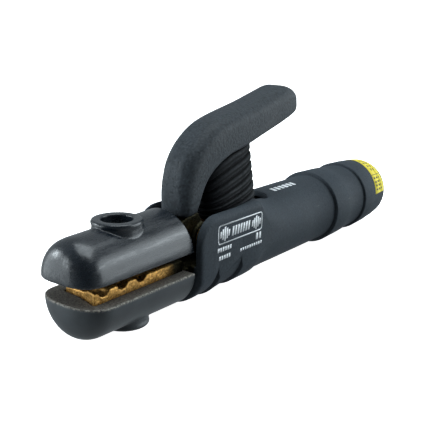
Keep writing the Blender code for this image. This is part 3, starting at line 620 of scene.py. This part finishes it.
def weights(obj, name, values):
    """Stores one number per vertex, for the material to read."""
    attribute = obj.data.attributes.new(name, "FLOAT", "POINT")
    attribute.data.foreach_set("value", values)


# ---------------------------------------------------------------- jaw insulators

NOSE_STEPS = 16
# A shell seen from above: nose, rear, half width, the height of its open side, how blunt its nose is
UPPER_PLAN = (UPPER_NOSE_Y, UPPER_REAR_Y, UPPER_HALF_WIDTH, UPPER_EDGE_Z, NOSE_BLUNTNESS)
LOWER_PLAN = (LOWER_NOSE_Y, LOWER_REAR_Y, LOWER_HALF_WIDTH, LOWER_RIM_Z, LOWER_NOSE_BLUNTNESS)


def insulator_shell(name, plan, crown_z, lean=0.0, rise=0.0):
    """A half capsule with a blunt nose. Its rear edge leans and its crown rises by the shares given."""
    nose_y, rear_y, half_width, edge_z, bluntness = plan
    length = rear_y - nose_y
    distances = [NOSE_LENGTH * (i / NOSE_STEPS) ** 2.4 for i in range(1, NOSE_STEPS + 1)]
    rings = []
    for distance in (NOSE_TIP, *distances, length):
        share = superellipse(distance, NOSE_LENGTH, bluntness)
        height = crown_z + rise * distance / length - edge_z
        side = height - math.copysign(half_width, height)
        width = half_width * share
        half = [(0.0, edge_z), (width, edge_z)]
        half += arc(0.0, edge_z + side * share, width, (height - side) * share, 2.0, 90.0, 28)
        slope = lean if distance == length else 0.0
        y = nose_y + distance
        rings.append([(x, y - slope * abs(z - edge_z), z) for x, z in mirrored(half)])
    return loft(name, rings)


def edge_lookup(plan):
    """A lookup of points along the shell's outer edge: across its flat tip, then along both sides."""
    nose_y, rear_y, half_width, edge_z, bluntness = plan
    nose_width = half_width * superellipse(NOSE_TIP, NOSE_LENGTH, bluntness)
    across, along = 61, 400
    points = [place((nose_width * (i / (across // 2) - 1.0), nose_y, edge_z)) for i in range(across)]
    for i in range(along):
        distance = (rear_y - nose_y) * (i / (along - 1.0)) ** 2
        width = half_width * superellipse(distance, NOSE_LENGTH, bluntness)
        points += [place((side * width, nose_y + distance, edge_z)) for side in (-1, 1)]
    tree = KDTree(len(points))
    for i, point in enumerate(points):
        tree.insert(point, i)
    tree.balance()
    return tree


def edge_weights(obj, plan, reach_mm):
    """Marks the skin near the shell's outer edge, 1 at the edge and 0 from reach_mm away."""
    tree = edge_lookup(plan)
    values = []
    for vertex in obj.data.vertices:
        distance = tree.find(vertex.co)[2] / MM
        values.append(max(0.0, 1.0 - distance / reach_mm))
    weights(obj, "edge", values)


def boss_profile(length):
    """A screw boss's outer profile, from inside the shell to its face: a neck and a rounded lip."""
    lip = 1.0 - BOSS_LIP / length
    edge = 0.7 / length
    return (
        (BOSS_NECK_RADIUS, 0.0),
        (BOSS_NECK_RADIUS, lip - 0.2 / length),
        (BOSS_RADIUS, lip + 0.3 / length),
        (BOSS_RADIUS, 1.0 - edge),
        (BOSS_RADIUS - 0.25, 1.0 - edge * 0.3),
        (BOSS_RADIUS - 0.7, 1.0),
    )


def add_boss(shell, y, face_z, up):
    """A round boss on the shell, above it or below it, that takes the insulator's screw."""
    foot_z = up * BOSS_FOOT
    profile = boss_profile(abs(face_z - foot_z))
    join(shell, rod("boss", (0.0, y, foot_z), (0.0, y, face_z), profile))


def upright_hole(y, from_z, to_z, radius):
    return cylinder((0, y, min(from_z, to_z)), (0, y, max(from_z, to_z)), radius)


def screw_holes(y, floor_z, up):
    """The wide hole down to a boss's floor, and the narrow one for the screw's shank through it."""
    wide = upright_hole(y, floor_z, up * CUT_PAST, BOSS_HOLE_RADIUS)
    narrow = upright_hole(y, 0.0, up * CUT_PAST, SCREW_HOLE_RADIUS)
    return wide, narrow


def upper_rear_hollow():
    """The rounded space behind the upper jaw, which leaves a thin wall at the shell's rear."""
    radius = UPPER_HALF_WIDTH - REAR_WALL
    crown = UPPER_CROWN_Z + UPPER_CROWN_RISE - REAR_WALL
    half = [(0.0, -CUT_THROUGH), (radius, -CUT_THROUGH)]
    half += arc(0.0, crown - radius, radius, radius, 0.0, 90.0, 20)
    ends = (REAR_HOLLOW_FRONT_Y, POCKET_REAR_Y)
    return loft("hollow", [[(x, y, z) for x, z in mirrored(half)] for y in ends])


def upper_insulator():
    shell = insulator_shell(
        "upper_insulator_shell", UPPER_PLAN, UPPER_CROWN_Z, UPPER_REAR_LEAN, UPPER_CROWN_RISE
    )
    add_boss(shell, UPPER_BOSS_Y, UPPER_BOSS_Z, 1)
    pocket = box(
        (-UPPER_POCKET_HALF_WIDTH, UPPER_POCKET_FRONT_Y, -CUT_THROUGH),
        (UPPER_POCKET_HALF_WIDTH, POCKET_REAR_Y, UPPER_POCKET_Z),
    )
    cut(shell, pocket, upper_rear_hollow(), *screw_holes(UPPER_BOSS_Y, UPPER_BOSS_FLOOR_Z, 1))
    softened(shell, MOULDED_GRAIN)
    edge_weights(shell, UPPER_PLAN, 0.9)
    return dress(shell, GLOSS, "lever", "gloss_black", "upper_jaw_insulator")


def rim_weights(shell):
    """Marks the lower shell's top face, down to a slightly wavy line on its sides."""
    rim_height = (LOWER_RIM_Z + AXIS_HEIGHT) * MM
    values = []
    for vertex in shell.data.vertices:
        height = vertex.co.z + RIM_WAVE * MM * noise.noise(vertex.co * RIM_WAVES_PER_METRE)
        fade = (rim_height - height - RIM_START * MM) / (RIM_FADE * MM)
        values.append(min(1.0, max(0.0, 1.0 - fade)))
    weights(shell, "rim", values)


def lower_insulator():
    shell = insulator_shell("lower_insulator_shell", LOWER_PLAN, LOWER_BELLY_Z)
    add_boss(shell, LOWER_BOSS_Y, LOWER_BOSS_Z, -1)
    rear_corners = ((-LOWER_POCKET_HALF_WIDTH, POCKET_REAR_Y), (LOWER_POCKET_HALF_WIDTH, POCKET_REAR_Y))
    pocket = prism("pocket", (*rear_corners, *LOWER_POCKET_FRONT), LOWER_POCKET_Z, CUT_THROUGH)
    cut(shell, pocket, *screw_holes(LOWER_BOSS_Y, LOWER_BOSS_FLOOR_Z, -1))
    softened(shell, MOULDED_GRAIN)
    rim_weights(shell)
    edge_weights(shell, LOWER_PLAN, 0.85)
    return dress(shell, SATIN, "holder", "satin_black", "lower_jaw_insulator")


# ---------------------------------------------------------------- brass jaws


def rough_casting(node, name, material, body):
    """A casting with a skin as rough as its sand mould left it, from the CAD solid."""
    casting = bpy.data.objects.new(name, frame["nodes"][node].data.copy())
    bpy.context.scene.collection.objects.link(casting)
    softened(casting, CAST_GRAIN)
    mesh = casting.data
    mesh.update()
    moved = []
    for vertex in mesh.vertices:
        bulge = sum(height * noise.noise(vertex.co * per_metre) for height, per_metre in CAST_LUMPS)
        moved.append(vertex.co + vertex.normal * (bulge * MM))
    for vertex, point in zip(mesh.vertices, moved):
        vertex.co = point
    return dress(casting, material, body, "cast_brass", node)


# ---------------------------------------------------------------- lever


def catmull_rom(a, b, c, d, t):
    """The value a share t of the way from b to c, on a smooth curve through all four."""
    second = (2 * a - 5 * b + 4 * c - d) * t * t
    third = (3 * b - a - 3 * c + d) * t**3
    return 0.5 * (2 * b + (c - a) * t + second + third)


def smooth_stations(stations, steps):
    """Extra stations on a smooth curve through the given ones."""
    rows = [(*front, *rear, half) for front, rear, half in stations]
    rows = [rows[0]] + rows + [rows[-1]]
    result = []
    for k in range(1, len(rows) - 2):
        columns = list(zip(*rows[k - 1 : k + 3]))
        for step in range(steps):
            result.append(tuple(catmull_rom(*column, step / steps) for column in columns))
    result.append(rows[-1])
    return result


def lever_ring(row):
    """A rounded rectangle across the lever, softer on top than underneath."""
    front_y, front_z, rear_y, rear_z, half_width = row
    middle = Vector((0.0, (front_y + rear_y) / 2.0, (front_z + rear_z) / 2.0))
    outward = Vector((0.0, front_y - rear_y, front_z - rear_z))
    half_thickness = outward.length / 2.0
    outward.normalize()
    most = 0.95 * min(half_width, half_thickness)
    top = min(LEVER_TOP_CORNER, most)
    under = min(LEVER_UNDER_CORNER, most)
    half = [((half_width - under) * s, -half_thickness) for s in (0.0, 0.33, 0.67)]
    half += arc(half_width - under, under - half_thickness, under, under, -90.0, 0.0, 6)
    half += arc(half_width - top, half_thickness - top, top, top, 0.0, 90.0, 10)
    half += [((half_width - top) * s, half_thickness) for s in (0.67, 0.33, 0.0)]
    return [middle + Vector((x, 0.0, 0.0)) + outward * height for x, height in mirrored(half)]


def lever():
    rings = [lever_ring(row) for row in smooth_stations(LEVER_STATIONS, 6)]
    sheath = loft("lever_cover", rings)
    return dress(sheath, LEVER_SKIN, "lever", "grainy_black", "lever_sheath")


# ---------------------------------------------------------------- spring and boot


def boot_top_z(y):
    """The height of the lever's underside above a place on the tool, between its stations."""
    under = [station[1] for station in LEVER_STATIONS]
    for (y0, z0), (y1, z1) in zip(under, under[1:]):
        if y <= y1:
            return z0 + (z1 - z0) * (y - y0) / (y1 - y0)
    return under[-1][1]


def boot_ring(share, inset):
    """One rounded ring of the boot. share is 0 at its base in the slot and 1 under the lever."""
    front = BOOT_FRONT_Y - BOOT_FRONT_LEAN * share + inset
    rear = BOOT_REAR_Y - BOOT_REAR_LEAN * share - inset
    half_width = BOOT_HALF_WIDTH - inset
    middle = (front + rear) / 2.0
    half_length = (rear - front) / 2.0
    points = []
    for i in range(BOOT_SIDES):
        angle = math.tau * i / BOOT_SIDES
        x = half_width * math.copysign(abs(math.cos(angle)) ** BOOT_ROUNDNESS, math.cos(angle))
        along = math.copysign(abs(math.sin(angle)) ** BOOT_ROUNDNESS, math.sin(angle))
        y = middle + half_length * along
        crowding = 1.0 + BOOT_FRONT_CROWDING * (1.0 - along) / 2.0
        rise = boot_top_z(y) + BOOT_TOP_OVERLAP - BOOT_BASE_Z
        points.append((x, y, BOOT_BASE_Z + rise * share**crowding))
    return points


def boot():
    """Soft folds, each with a shallow line along its crest, and a plain inner wall."""
    rows = BOOT_FOLDS * BOOT_ROWS_PER_FOLD
    rings = []
    crests = []
    for i in range(rows + 1):
        phase = (i % BOOT_ROWS_PER_FOLD) / BOOT_ROWS_PER_FOLD
        crest = abs(math.sin(math.pi * phase)) ** BOOT_CREST_POWER
        line = BOOT_LINE_DEPTH * math.exp(-(((phase - 0.5) / BOOT_LINE_WIDTH) ** 2))
        rings.append(boot_ring(i / rows, BOOT_FOLD_DEPTH * (1.0 - crest) + line))
        # Crest values, lower along each crest's line, from which the rubber paints highlight on the crests
        # and shade in the creases.
        crests += [crest - 2.0 * line] * BOOT_SIDES
    rings += [boot_ring(share, BOOT_WALL + BOOT_FOLD_DEPTH) for share in (1.0, 0.75, 0.5, 0.25, 0.0)]
    points = [place(point) for ring in rings for point in ring]
    obj = new_object("boot_folds", points, quads_between(len(rings), BOOT_SIDES, closed=True))
    weights(obj, "crest", crests + [0.0] * (len(points) - len(crests)))
    dress(obj, RUBBER, None, "boot_rubber", "spring_boot")
    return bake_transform(obj)


def coil():
    """The spring's round wire, wound about the line between its two seats."""
    foot = Vector((0.0, *SPRING_FOOT))
    head = Vector((0.0, *SPRING_HEAD))
    up = (head - foot).normalized()
    across = Vector((1.0, 0.0, 0.0))
    beside = up.cross(across)
    low = foot + up * (SPRING_WIRE_RADIUS + SPRING_LOWER_GAP)
    high = head - up * (SPRING_WIRE_RADIUS + SPRING_UPPER_GAP)
    count = round(SPRING_TURNS * COIL_POINTS_PER_TURN)
    rings = []
    for i in range(count + 1):
        angle = math.tau * SPRING_TURNS * i / count
        outward = across * math.cos(angle) + beside * math.sin(angle)
        centre = low.lerp(high, i / count) + outward * SPRING_RADIUS
        ring = []
        for k in range(WIRE_SIDES):
            turn = math.tau * k / WIRE_SIDES
            ring.append(centre + (outward * math.cos(turn) + up * math.sin(turn)) * SPRING_WIRE_RADIUS)
        rings.append(ring)
    obj = loft("spring_coil", rings)
    dress(obj, STEEL, None, "steel", "spring")
    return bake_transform(obj)


# ---------------------------------------------------------------- handle

ROUND_SIDE_DEG = 5.0
# Cheeks: distance behind CHEEK_FRONT_Y, belly radius, how much narrower
CHEEK_STATIONS = (
    (0.0, 17.6, 0.9),
    (0.25, 18.05, 0.35),
    (0.7, 18.35, 0.08),
    (2.2, 18.4, 0.0),
    (3.6, 18.35, 0.0),
    (5.2, 18.25, 0.0),
    (7.5, 18.1, 0.0),
    (10.0, 17.8, 0.0),
)
# Collar with its two steps: place along the tool, belly radius
COLLAR_STATIONS = (
    (STEP_ONE_Y - 0.1, 17.25),
    (STEP_ONE_Y + 0.15, 18.1),
    (STEP_ONE_Y + 0.6, 18.7),
    (STEP_TWO_Y - 0.1, 17.08),
    (STEP_TWO_Y + 0.15, 17.85),
    (STEP_TWO_Y + 0.6, 18.4),
    (COLLAR_END_Y - 3.0, 18.2),
    (COLLAR_END_Y, 18.0),
)
# From collar to tube: distance behind TUBE_START_Y, belly, half width, top, top corner, drop
NECK_STATIONS = (
    (-2.2, 17.2, 16.9, 17.6, 6.0, 0.1),
    (2.0, 16.9, 16.7, 17.0, 10.0, 0.3),
    (10.0, 16.6, 16.55, 16.65, 14.0, 0.6),
)


def handle_section(y, belly_radius, half_width, top, corner, drop=0.0):
    """Round below and a rounded box above. With all four sizes equal it is nearly a full circle."""
    side_z = -math.sqrt(max(belly_radius**2 - half_width**2, 0.0))
    belly_end = min(math.degrees(math.atan2(side_z, half_width)), -ROUND_SIDE_DEG)
    inset = ROUND_SIDE_DEG if corner >= half_width else 0.0
    half = arc(0.0, 0.0, belly_radius, belly_radius, -90.0, belly_end, 22)
    half += arc(half_width - corner, top - corner, corner, corner, inset, 90.0 - inset, 20)
    half.append((0.0, top))
    return [(x, y, z - drop) for x, z in mirrored(half)]


def cheek_top(y):
    """The collar's top height, which falls in a quarter circle at the cheeks' front corner."""
    distance = y - CHEEK_FRONT_Y
    if distance >= CHEEK_CORNER:
        return COLLAR_TOP_Z
    drop = CHEEK_CORNER - math.sqrt(CHEEK_CORNER**2 - (CHEEK_CORNER - distance) ** 2)
    return COLLAR_TOP_Z - drop


def round_rings(y, before, after):
    """A rounded step from one radius up to a larger one."""
    lip = min(0.5, (after - before) / 2.0)
    return (
        (y - 0.15, before),
        (y, before + 0.12),
        (y, after - lip),
        (y + lip * 0.3, after - lip * 0.3),
        (y + lip, after),
    )


TUBE_PROFILE = (
    (TUBE_START_Y + 20.0, TUBE_RADIUS + 0.05),
    (TUBE_START_Y + 40.0, TUBE_RADIUS),
    *round_rings(RING_A_Y, TUBE_RADIUS - 0.2, RING_A_RADIUS),
    (RING_A_Y + 15.0, RING_A_RADIUS - 0.5),
    *round_rings(RING_B_Y, RING_A_RADIUS - 1.6, RING_B_RADIUS),
    (RING_B_Y + 11.0, RING_B_RADIUS - 0.4),
    (RING_B_Y + 20.0, RING_B_RADIUS - 1.1),
    (HANDLE_REAR_Y - 3.2, RING_B_RADIUS - 1.8),
    (HANDLE_REAR_Y - 1.8, RING_B_RADIUS - 2.3),
    (HANDLE_REAR_Y - 0.8, RING_B_RADIUS - 3.0),
    (HANDLE_REAR_Y - 0.2, RING_B_RADIUS - 3.9),
    (HANDLE_REAR_Y, RING_B_RADIUS - 4.6),
)


def tube_radius(y):
    """The tube's radius at a place along it."""
    for (y0, radius0), (y1, radius1) in zip(TUBE_PROFILE, TUBE_PROFILE[1:]):
        if y0 <= y <= y1 and y1 > y0:
            return radius0 + (radius1 - radius0) * (y - y0) / (y1 - y0)
    return TUBE_RADIUS


def handle_rings():
    """Sections of the handle's outside: cheeks and collar, the change to a round tube, and the rings."""
    rings = []
    for distance, belly, narrower in CHEEK_STATIONS:
        y = CHEEK_FRONT_Y + distance
        rings.append(handle_section(y, belly, CHEEK_HALF_WIDTH - narrower, cheek_top(y), COLLAR_CORNER))
    for y, belly in COLLAR_STATIONS:
        rings.append(handle_section(y, belly, CHEEK_HALF_WIDTH, COLLAR_TOP_Z, COLLAR_CORNER))
    for distance, belly, half_width, top, corner, drop in NECK_STATIONS:
        rings.append(handle_section(TUBE_START_Y + distance, belly, half_width, top, corner, drop))
    for y, radius in TUBE_PROFILE:
        rings.append(handle_section(y, radius, radius, radius, radius, TUBE_DROP))
    return rings


def slot_outline():
    """The slot between the cheeks, seen from above: wide at the front, rounded at its closed end."""
    half = [(FORK_HALF_WIDTH, CHEEK_FRONT_Y - CUT_THROUGH), (FORK_HALF_WIDTH, -30.0)]
    half += [(12.2, -17.0), (9.4, -9.0), (SLOT_HALF_WIDTH, -3.0)]
    centre_x = SLOT_HALF_WIDTH - SLOT_CORNER
    centre_y = SLOT_END_Y - SLOT_CORNER
    half += arc(centre_x, centre_y, SLOT_CORNER, SLOT_CORNER, 0.0, 90.0, 14)
    return half + [(-x, y) for x, y in reversed(half)]


def handle():
    """Cheeks, stepped collar and tube in one moulding, hollow from end to end."""
    shell = loft("handle_shell", handle_rings())
    bore_end = HANDLE_REAR_Y - INLET_WALL
    inlet_front = (0, bore_end - 1.0, -TUBE_DROP)
    inlet_rear = (0, HANDLE_REAR_Y + CUT_THROUGH, -TUBE_DROP)
    screw_foot = (0, HANDLE_SCREW_Y, -CUT_PAST)
    cut(
        shell,
        cylinder((0, CHEEK_FRONT_Y - CUT_THROUGH, 0), (0, bore_end, 0), HANDLE_BORE_RADIUS, 96),
        cylinder(inlet_front, inlet_rear, INLET_RADIUS, 96),
        prism("slot", slot_outline(), -1.0, CUT_PAST),
        cylinder(screw_foot, (0, HANDLE_SCREW_Y, HANDLE_SCREW_SEAT_Z), HANDLE_SCREW_HEAD_HOLE_RADIUS),
        cylinder(screw_foot, (0, HANDLE_SCREW_Y, HANDLE_SCREW_HOLE_TOP_Z), HANDLE_SCREW_HOLE_RADIUS),
    )
    bevel = shell.modifiers.new("edges", "BEVEL")
    bevel.width = HANDLE_EDGE_ROUNDING * MM
    bevel.segments = 2
    bevel.limit_method = "ANGLE"
    bevel.angle_limit = math.radians(SHARP_EDGE_DEG)
    baked(shell)
    dress(shell, HANDLE_SKIN, "holder", "moulded_black", "handle")
    shell.data.set_sharp_from_angle(angle=math.radians(SHARP_EDGE_DEG))
    return shell


# ---------------------------------------------------------------- printing and sticker


def tube_point(angle_deg, y, radius):
    """A point about the tube's axis, at an angle from its top towards +X."""
    angle = math.radians(angle_deg)
    return (radius * math.sin(angle), y, radius * math.cos(angle) - TUBE_DROP)


def patch(name, material, slot, outlines, to_surface):
    """Flat marks: each outline is a convex loop of (across, along), carried onto a surface."""
    points, faces = [], []
    for outline in outlines:
        faces.append(tuple(range(len(points), len(points) + len(outline))))
        points += [place(to_surface(u, v)) for u, v in outline]
    obj = new_object(name, points, faces)
    skin = obj.modifiers.new("thickness", "SOLIDIFY")
    skin.thickness = PRINT_THICKNESS * MM
    skin.offset = 0.0
    baked(obj)
    return dress(obj, material, "holder", slot)


def bar(u, v, width, height, slant=0.0):
    """A slanted bar with its lower left corner at u, v."""
    return ((u, v), (u + width, v), (u + width + slant, v + height), (u + slant, v + height))


def rounded_frame(u, v, width, height, corner, line):
    """A rounded rectangle drawn as a closed line, as small quads."""

    def loop(inset):
        radius = corner - inset
        points = []
        for cx, cy, start in (
            (u + width - corner, v + height - corner, 0),
            (u + corner, v + height - corner, 90),
            (u + corner, v + corner, 180),
            (u + width - corner, v + corner, 270),
        ):
            for i in range(5):
                angle = math.radians(start + 90 * i / 4)
                points.append((cx + radius * math.cos(angle), cy + radius * math.sin(angle)))
        return points

    outer, inner = loop(0.0), loop(line)
    count = len(outer)
    return [(outer[i], outer[(i + 1) % count], inner[(i + 1) % count], inner[i]) for i in range(count)]


def cheek_point(u, v):
    """A point on the near cheek, at the place u along the tool and the height v."""
    return (CHEEK_HALF_WIDTH + CHEEK_PRINT_LIFT, u, v)


def row_of_bars(u, v, count, pitch, width, height, slant):
    return [bar(u + i * pitch, v, width, height, slant) for i in range(count)]


def cheek_marks():
    """A plain frame with slanted bars of several heights in it, and rows of short blocks below."""
    marks = rounded_frame(-45.4, 5.8, 30.8, 7.9, 1.5, 0.45)
    centre = 9.75
    for start in (-44.2, -22.4):
        for i, height in enumerate((2.6, 4.2, 5.6, 4.2, 2.6)):
            marks.append(bar(start + i * 1.35, centre - height / 2.0, 0.95, height, 0.35))
    marks += row_of_bars(-36.4, centre - 1.9, 7, 1.85, 1.15, 3.8, 0.7)
    marks += row_of_bars(-45.6, 2.8, 6, 1.6, 1.1, 1.7, 0.15)
    marks += row_of_bars(-44.6, -0.6, 5, 1.6, 1.1, 1.6, 0.12)
    marks += row_of_bars(-30.2, -0.2, 10, 1.62, 1.05, 1.2, 0.12)
    marks += row_of_bars(-19.0, 2.2, 2, 2.3, 1.4, 2.8, 0.2)
    return patch("cheek_print", WHITE_INK, "moulded_black", marks, cheek_point)


def tube_marks():
    """A row of plain bars along the top of the tube."""
    marks = row_of_bars(13.8, 1.9, 6, 3.3, 2.1, 2.9, 0.5)

    def surface(u, v):
        return tube_point(math.degrees(v / TUBE_RADIUS), u, tube_radius(u) + TUBE_PRINT_LIFT)

    return patch("tube_print", WHITE_INK, "moulded_black", marks, surface)


STICKER_FRONT_Y = 96.1
STICKER_SLANT = 4.4
STICKER_REAR_Y = 108.4
STICKER_START_DEG = -14.0
STICKER_END_DEG = 86.0
STICKER_DIVIDER_DEG = 51.0
STICKER_DIVIDER_HALF_WIDTH_DEG = 0.45
STICKER_STEPS = 50


def sticker_front(angle):
    """The band's front edge, which runs back towards the top of the handle."""
    share = 1.0 - min(max(angle, 0.0), STICKER_END_DEG) / STICKER_END_DEG
    return STICKER_FRONT_Y + STICKER_SLANT * share**1.6


def sticker_film():
    """A yellow band wrapped part of the way round the rear section."""
    quads = []
    bend = RING_B_Y + 20.0
    step = (STICKER_END_DEG - STICKER_START_DEG) / STICKER_STEPS
    for i in range(STICKER_STEPS):
        start = STICKER_START_DEG + i * step
        end = start + step
        quads.append(((start, sticker_front(start)), (end, sticker_front(end)), (end, bend), (start, bend)))
        quads.append(((start, bend), (end, bend), (end, STICKER_REAR_Y), (start, STICKER_REAR_Y)))

    def surface(angle, y):
        return tube_point(angle, y, tube_radius(y) + TUBE_PRINT_LIFT)

    return patch("sticker_film", YELLOW_FILM, "moulded_black", quads, surface)


def sticker_rules():
    """Plain dark dashes in rows and one dividing line, printed on the band."""
    quads = []
    left = STICKER_DIVIDER_DEG - STICKER_DIVIDER_HALF_WIDTH_DEG
    right = STICKER_DIVIDER_DEG + STICKER_DIVIDER_HALF_WIDTH_DEG
    for low, high in ((sticker_front(STICKER_DIVIDER_DEG), 100.0), (100.0, 103.4), (103.4, STICKER_REAR_Y)):
        quads.append(((left, low), (right, low), (right, high), (left, high)))
    for first, last, pitch, width, rows in (
        (10.0, 46.0, 9.0, 5.0, ((101.2, 102.2), (104.0, 105.2))),
        (56.0, 82.0, 7.0, 3.4, ((98.2, 100.0), (101.6, 103.2), (104.6, 105.6))),
    ):
        angle = first
        while angle < last:
            for low, high in rows:
                quads.append(((angle, low), (angle + width, low), (angle + width, high), (angle, high)))
            angle += pitch

    def surface(angle, y):
        return tube_point(angle, y, tube_radius(y) + STICKER_RULES_LIFT)

    return patch("sticker_rules", DARK_INK, "moulded_black", quads, surface)


# ---------------------------------------------------------------- the holder

upper_insulator()
lower_insulator()
rough_casting("lower_jaw", "lower_casting", CAST_LOWER, "holder")
rough_casting("upper_jaw", "upper_casting", CAST_UPPER, "lever")
lever()
boot()
coil()
handle()
cheek_marks()
tube_marks()
sticker_film()
sticker_rules()

CAD_LOOKS = {
    "steel": STEEL,
    "turned_brass": BRASS,
    "copper": COPPER,
    "insulating_board": BOARD,
}
# The small CAD solids stay in view, so they get their looks here
for part in frame["record"]["subparts"]:
    mesh = frame["nodes"][part["node"]].data
    if part["material_slot"] in CAD_LOOKS:
        mesh.materials.clear()
        mesh.materials.append(CAD_LOOKS[part["material_slot"]])
        for polygon in mesh.polygons:
            polygon.material_index = 0


# ---------------------------------------------------------------- studio


def flat_card(name, size, material):
    """A level square, centred on the row frame's origin, that isn't part of the tool."""
    half = size / 2.0
    corners = ((-half, -half, 0), (half, -half, 0), (half, half, 0), (-half, half, 0))
    obj = new_object(name, corners, ((0, 1, 2, 3),))
    obj.data.materials.append(material)
    return obj


def bright_card(name, size):
    """A white card that the camera sees and that throws no light on the tool."""
    paint = Paint(name, (0.92, 0.92, 0.92), 0.9)
    paint.shader.inputs["Emission Color"].default_value = (1.0, 1.0, 1.0, 1.0)
    paint.shader.inputs["Emission Strength"].default_value = 1.0
    card = flat_card(name, size, paint.material)
    card.visible_diffuse = False
    card.visible_glossy = False
    card.visible_shadow = False
    return card


def backdrop():
    """The floor, and four walls far round the tool, the first one square to the camera's azimuth."""
    bright_card("floor", ROOM_SIZE)
    for quarter in range(4):
        wall = bright_card(f"wall_{quarter}", ROOM_SIZE)
        azimuth = math.radians(CAMERA_AZIMUTH + 90.0 * quarter)
        wall.location = (-WALL_DISTANCE * math.sin(azimuth), WALL_DISTANCE * math.cos(azimuth), 0.0)
        wall.rotation_euler = (math.radians(90.0), 0.0, azimuth)


def aim(obj, target):
    direction = Vector(target) - obj.location
    obj.rotation_euler = direction.to_track_quat("-Z", "Y").to_euler()


def softbox(name, location, target, width, height, power):
    """A soft lamp, sized in metres and watts, turned towards its target and hidden from the camera."""
    light = bpy.data.lights.new(name, "AREA")
    light.shape = "RECTANGLE"
    light.size = width
    light.size_y = height
    light.energy = power
    light.color = LIGHT_TINT[:3]
    obj = bpy.data.objects.new(name, light)
    bpy.context.scene.collection.objects.link(obj)
    obj.location = location
    obj.visible_camera = False
    aim(obj, target)
    return obj


def sky():
    """Even light from all round, dimmer from the side that the tool is seen from."""
    world = bpy.data.worlds.new("studio")
    world.use_nodes = True
    tree = world.node_tree
    background = tree.nodes["Background"]
    background.inputs["Color"].default_value = LIGHT_TINT
    coords = tree.nodes.new("ShaderNodeTexCoord")
    along = tree.nodes.new("ShaderNodeVectorMath")
    along.operation = "DOT_PRODUCT"
    along.inputs[1].default_value = DIM_SIDE
    fade = tree.nodes.new("ShaderNodeMapRange")
    fade.inputs["From Min"].default_value = 0.1
    fade.inputs["From Max"].default_value = 0.9
    fade.inputs["To Min"].default_value = SKY_BRIGHT
    fade.inputs["To Max"].default_value = SKY_DIM
    tree.links.new(coords.outputs["Generated"], along.inputs[0])
    tree.links.new(along.outputs["Value"], fade.inputs["Value"])
    tree.links.new(fade.outputs["Result"], background.inputs["Strength"])
    bpy.context.scene.world = world


def studio():
    sky()
    nose = (0.0, -0.11, 0.03)
    softbox("left_panel", (-0.72, -0.62, 0.05), nose, 1.0, 0.66, 3.8)
    softbox("left_key", (-0.75, -0.53, 0.3), nose, 0.24, 0.24, 2.2)
    softbox("left_edge", (-0.43, -0.87, 0.23), nose, 0.1, 0.4, 0.9)
    softbox("right_panel", (0.6, 0.62, 0.2), (0, 0, 0.02), 0.9, 0.9, 6.0)
    softbox("right_strip", (0.58, 0.56, 0.36), (0, 0, 0.02), 0.9, 0.12, 1.3)
    softbox("top_panel", (0.1, 0.1, 1.2), (0, 0, 0), 1.0, 1.0, 11.0)
    fill = softbox("front_fill", (-0.5, -0.85, 0.4), (0, -0.05, 0.03), 0.6, 0.6, 4.5)
    fill.visible_glossy = False
    backdrop()


def camera():
    """The camera, from its place, azimuth, elevation and roll."""
    azimuth, elevation, roll = (math.radians(a) for a in (CAMERA_AZIMUTH, CAMERA_ELEVATION, CAMERA_ROLL))
    back = Vector(
        (
            math.sin(azimuth) * math.cos(elevation),
            -math.cos(azimuth) * math.cos(elevation),
            math.sin(elevation),
        )
    )
    right = Vector((0, 0, 1)).cross(back).normalized()
    up = back.cross(right)
    rolled_right = right * math.cos(roll) + up * math.sin(roll)
    rolled_up = up * math.cos(roll) - right * math.sin(roll)
    data = bpy.data.cameras.new("camera")
    data.lens = CAMERA_LENS
    data.sensor_width = SENSOR
    data.clip_start = 0.01
    obj = bpy.data.objects.new("camera", data)
    bpy.context.scene.collection.objects.link(obj)
    turn = Matrix((rolled_right, rolled_up, back)).transposed().to_4x4()
    obj.matrix_world = Matrix.Translation(Vector(CAMERA_PLACE) * MM) @ turn
    bpy.context.scene.camera = obj


studio()
camera()
bpy.context.scene.view_settings.view_transform = "Standard"
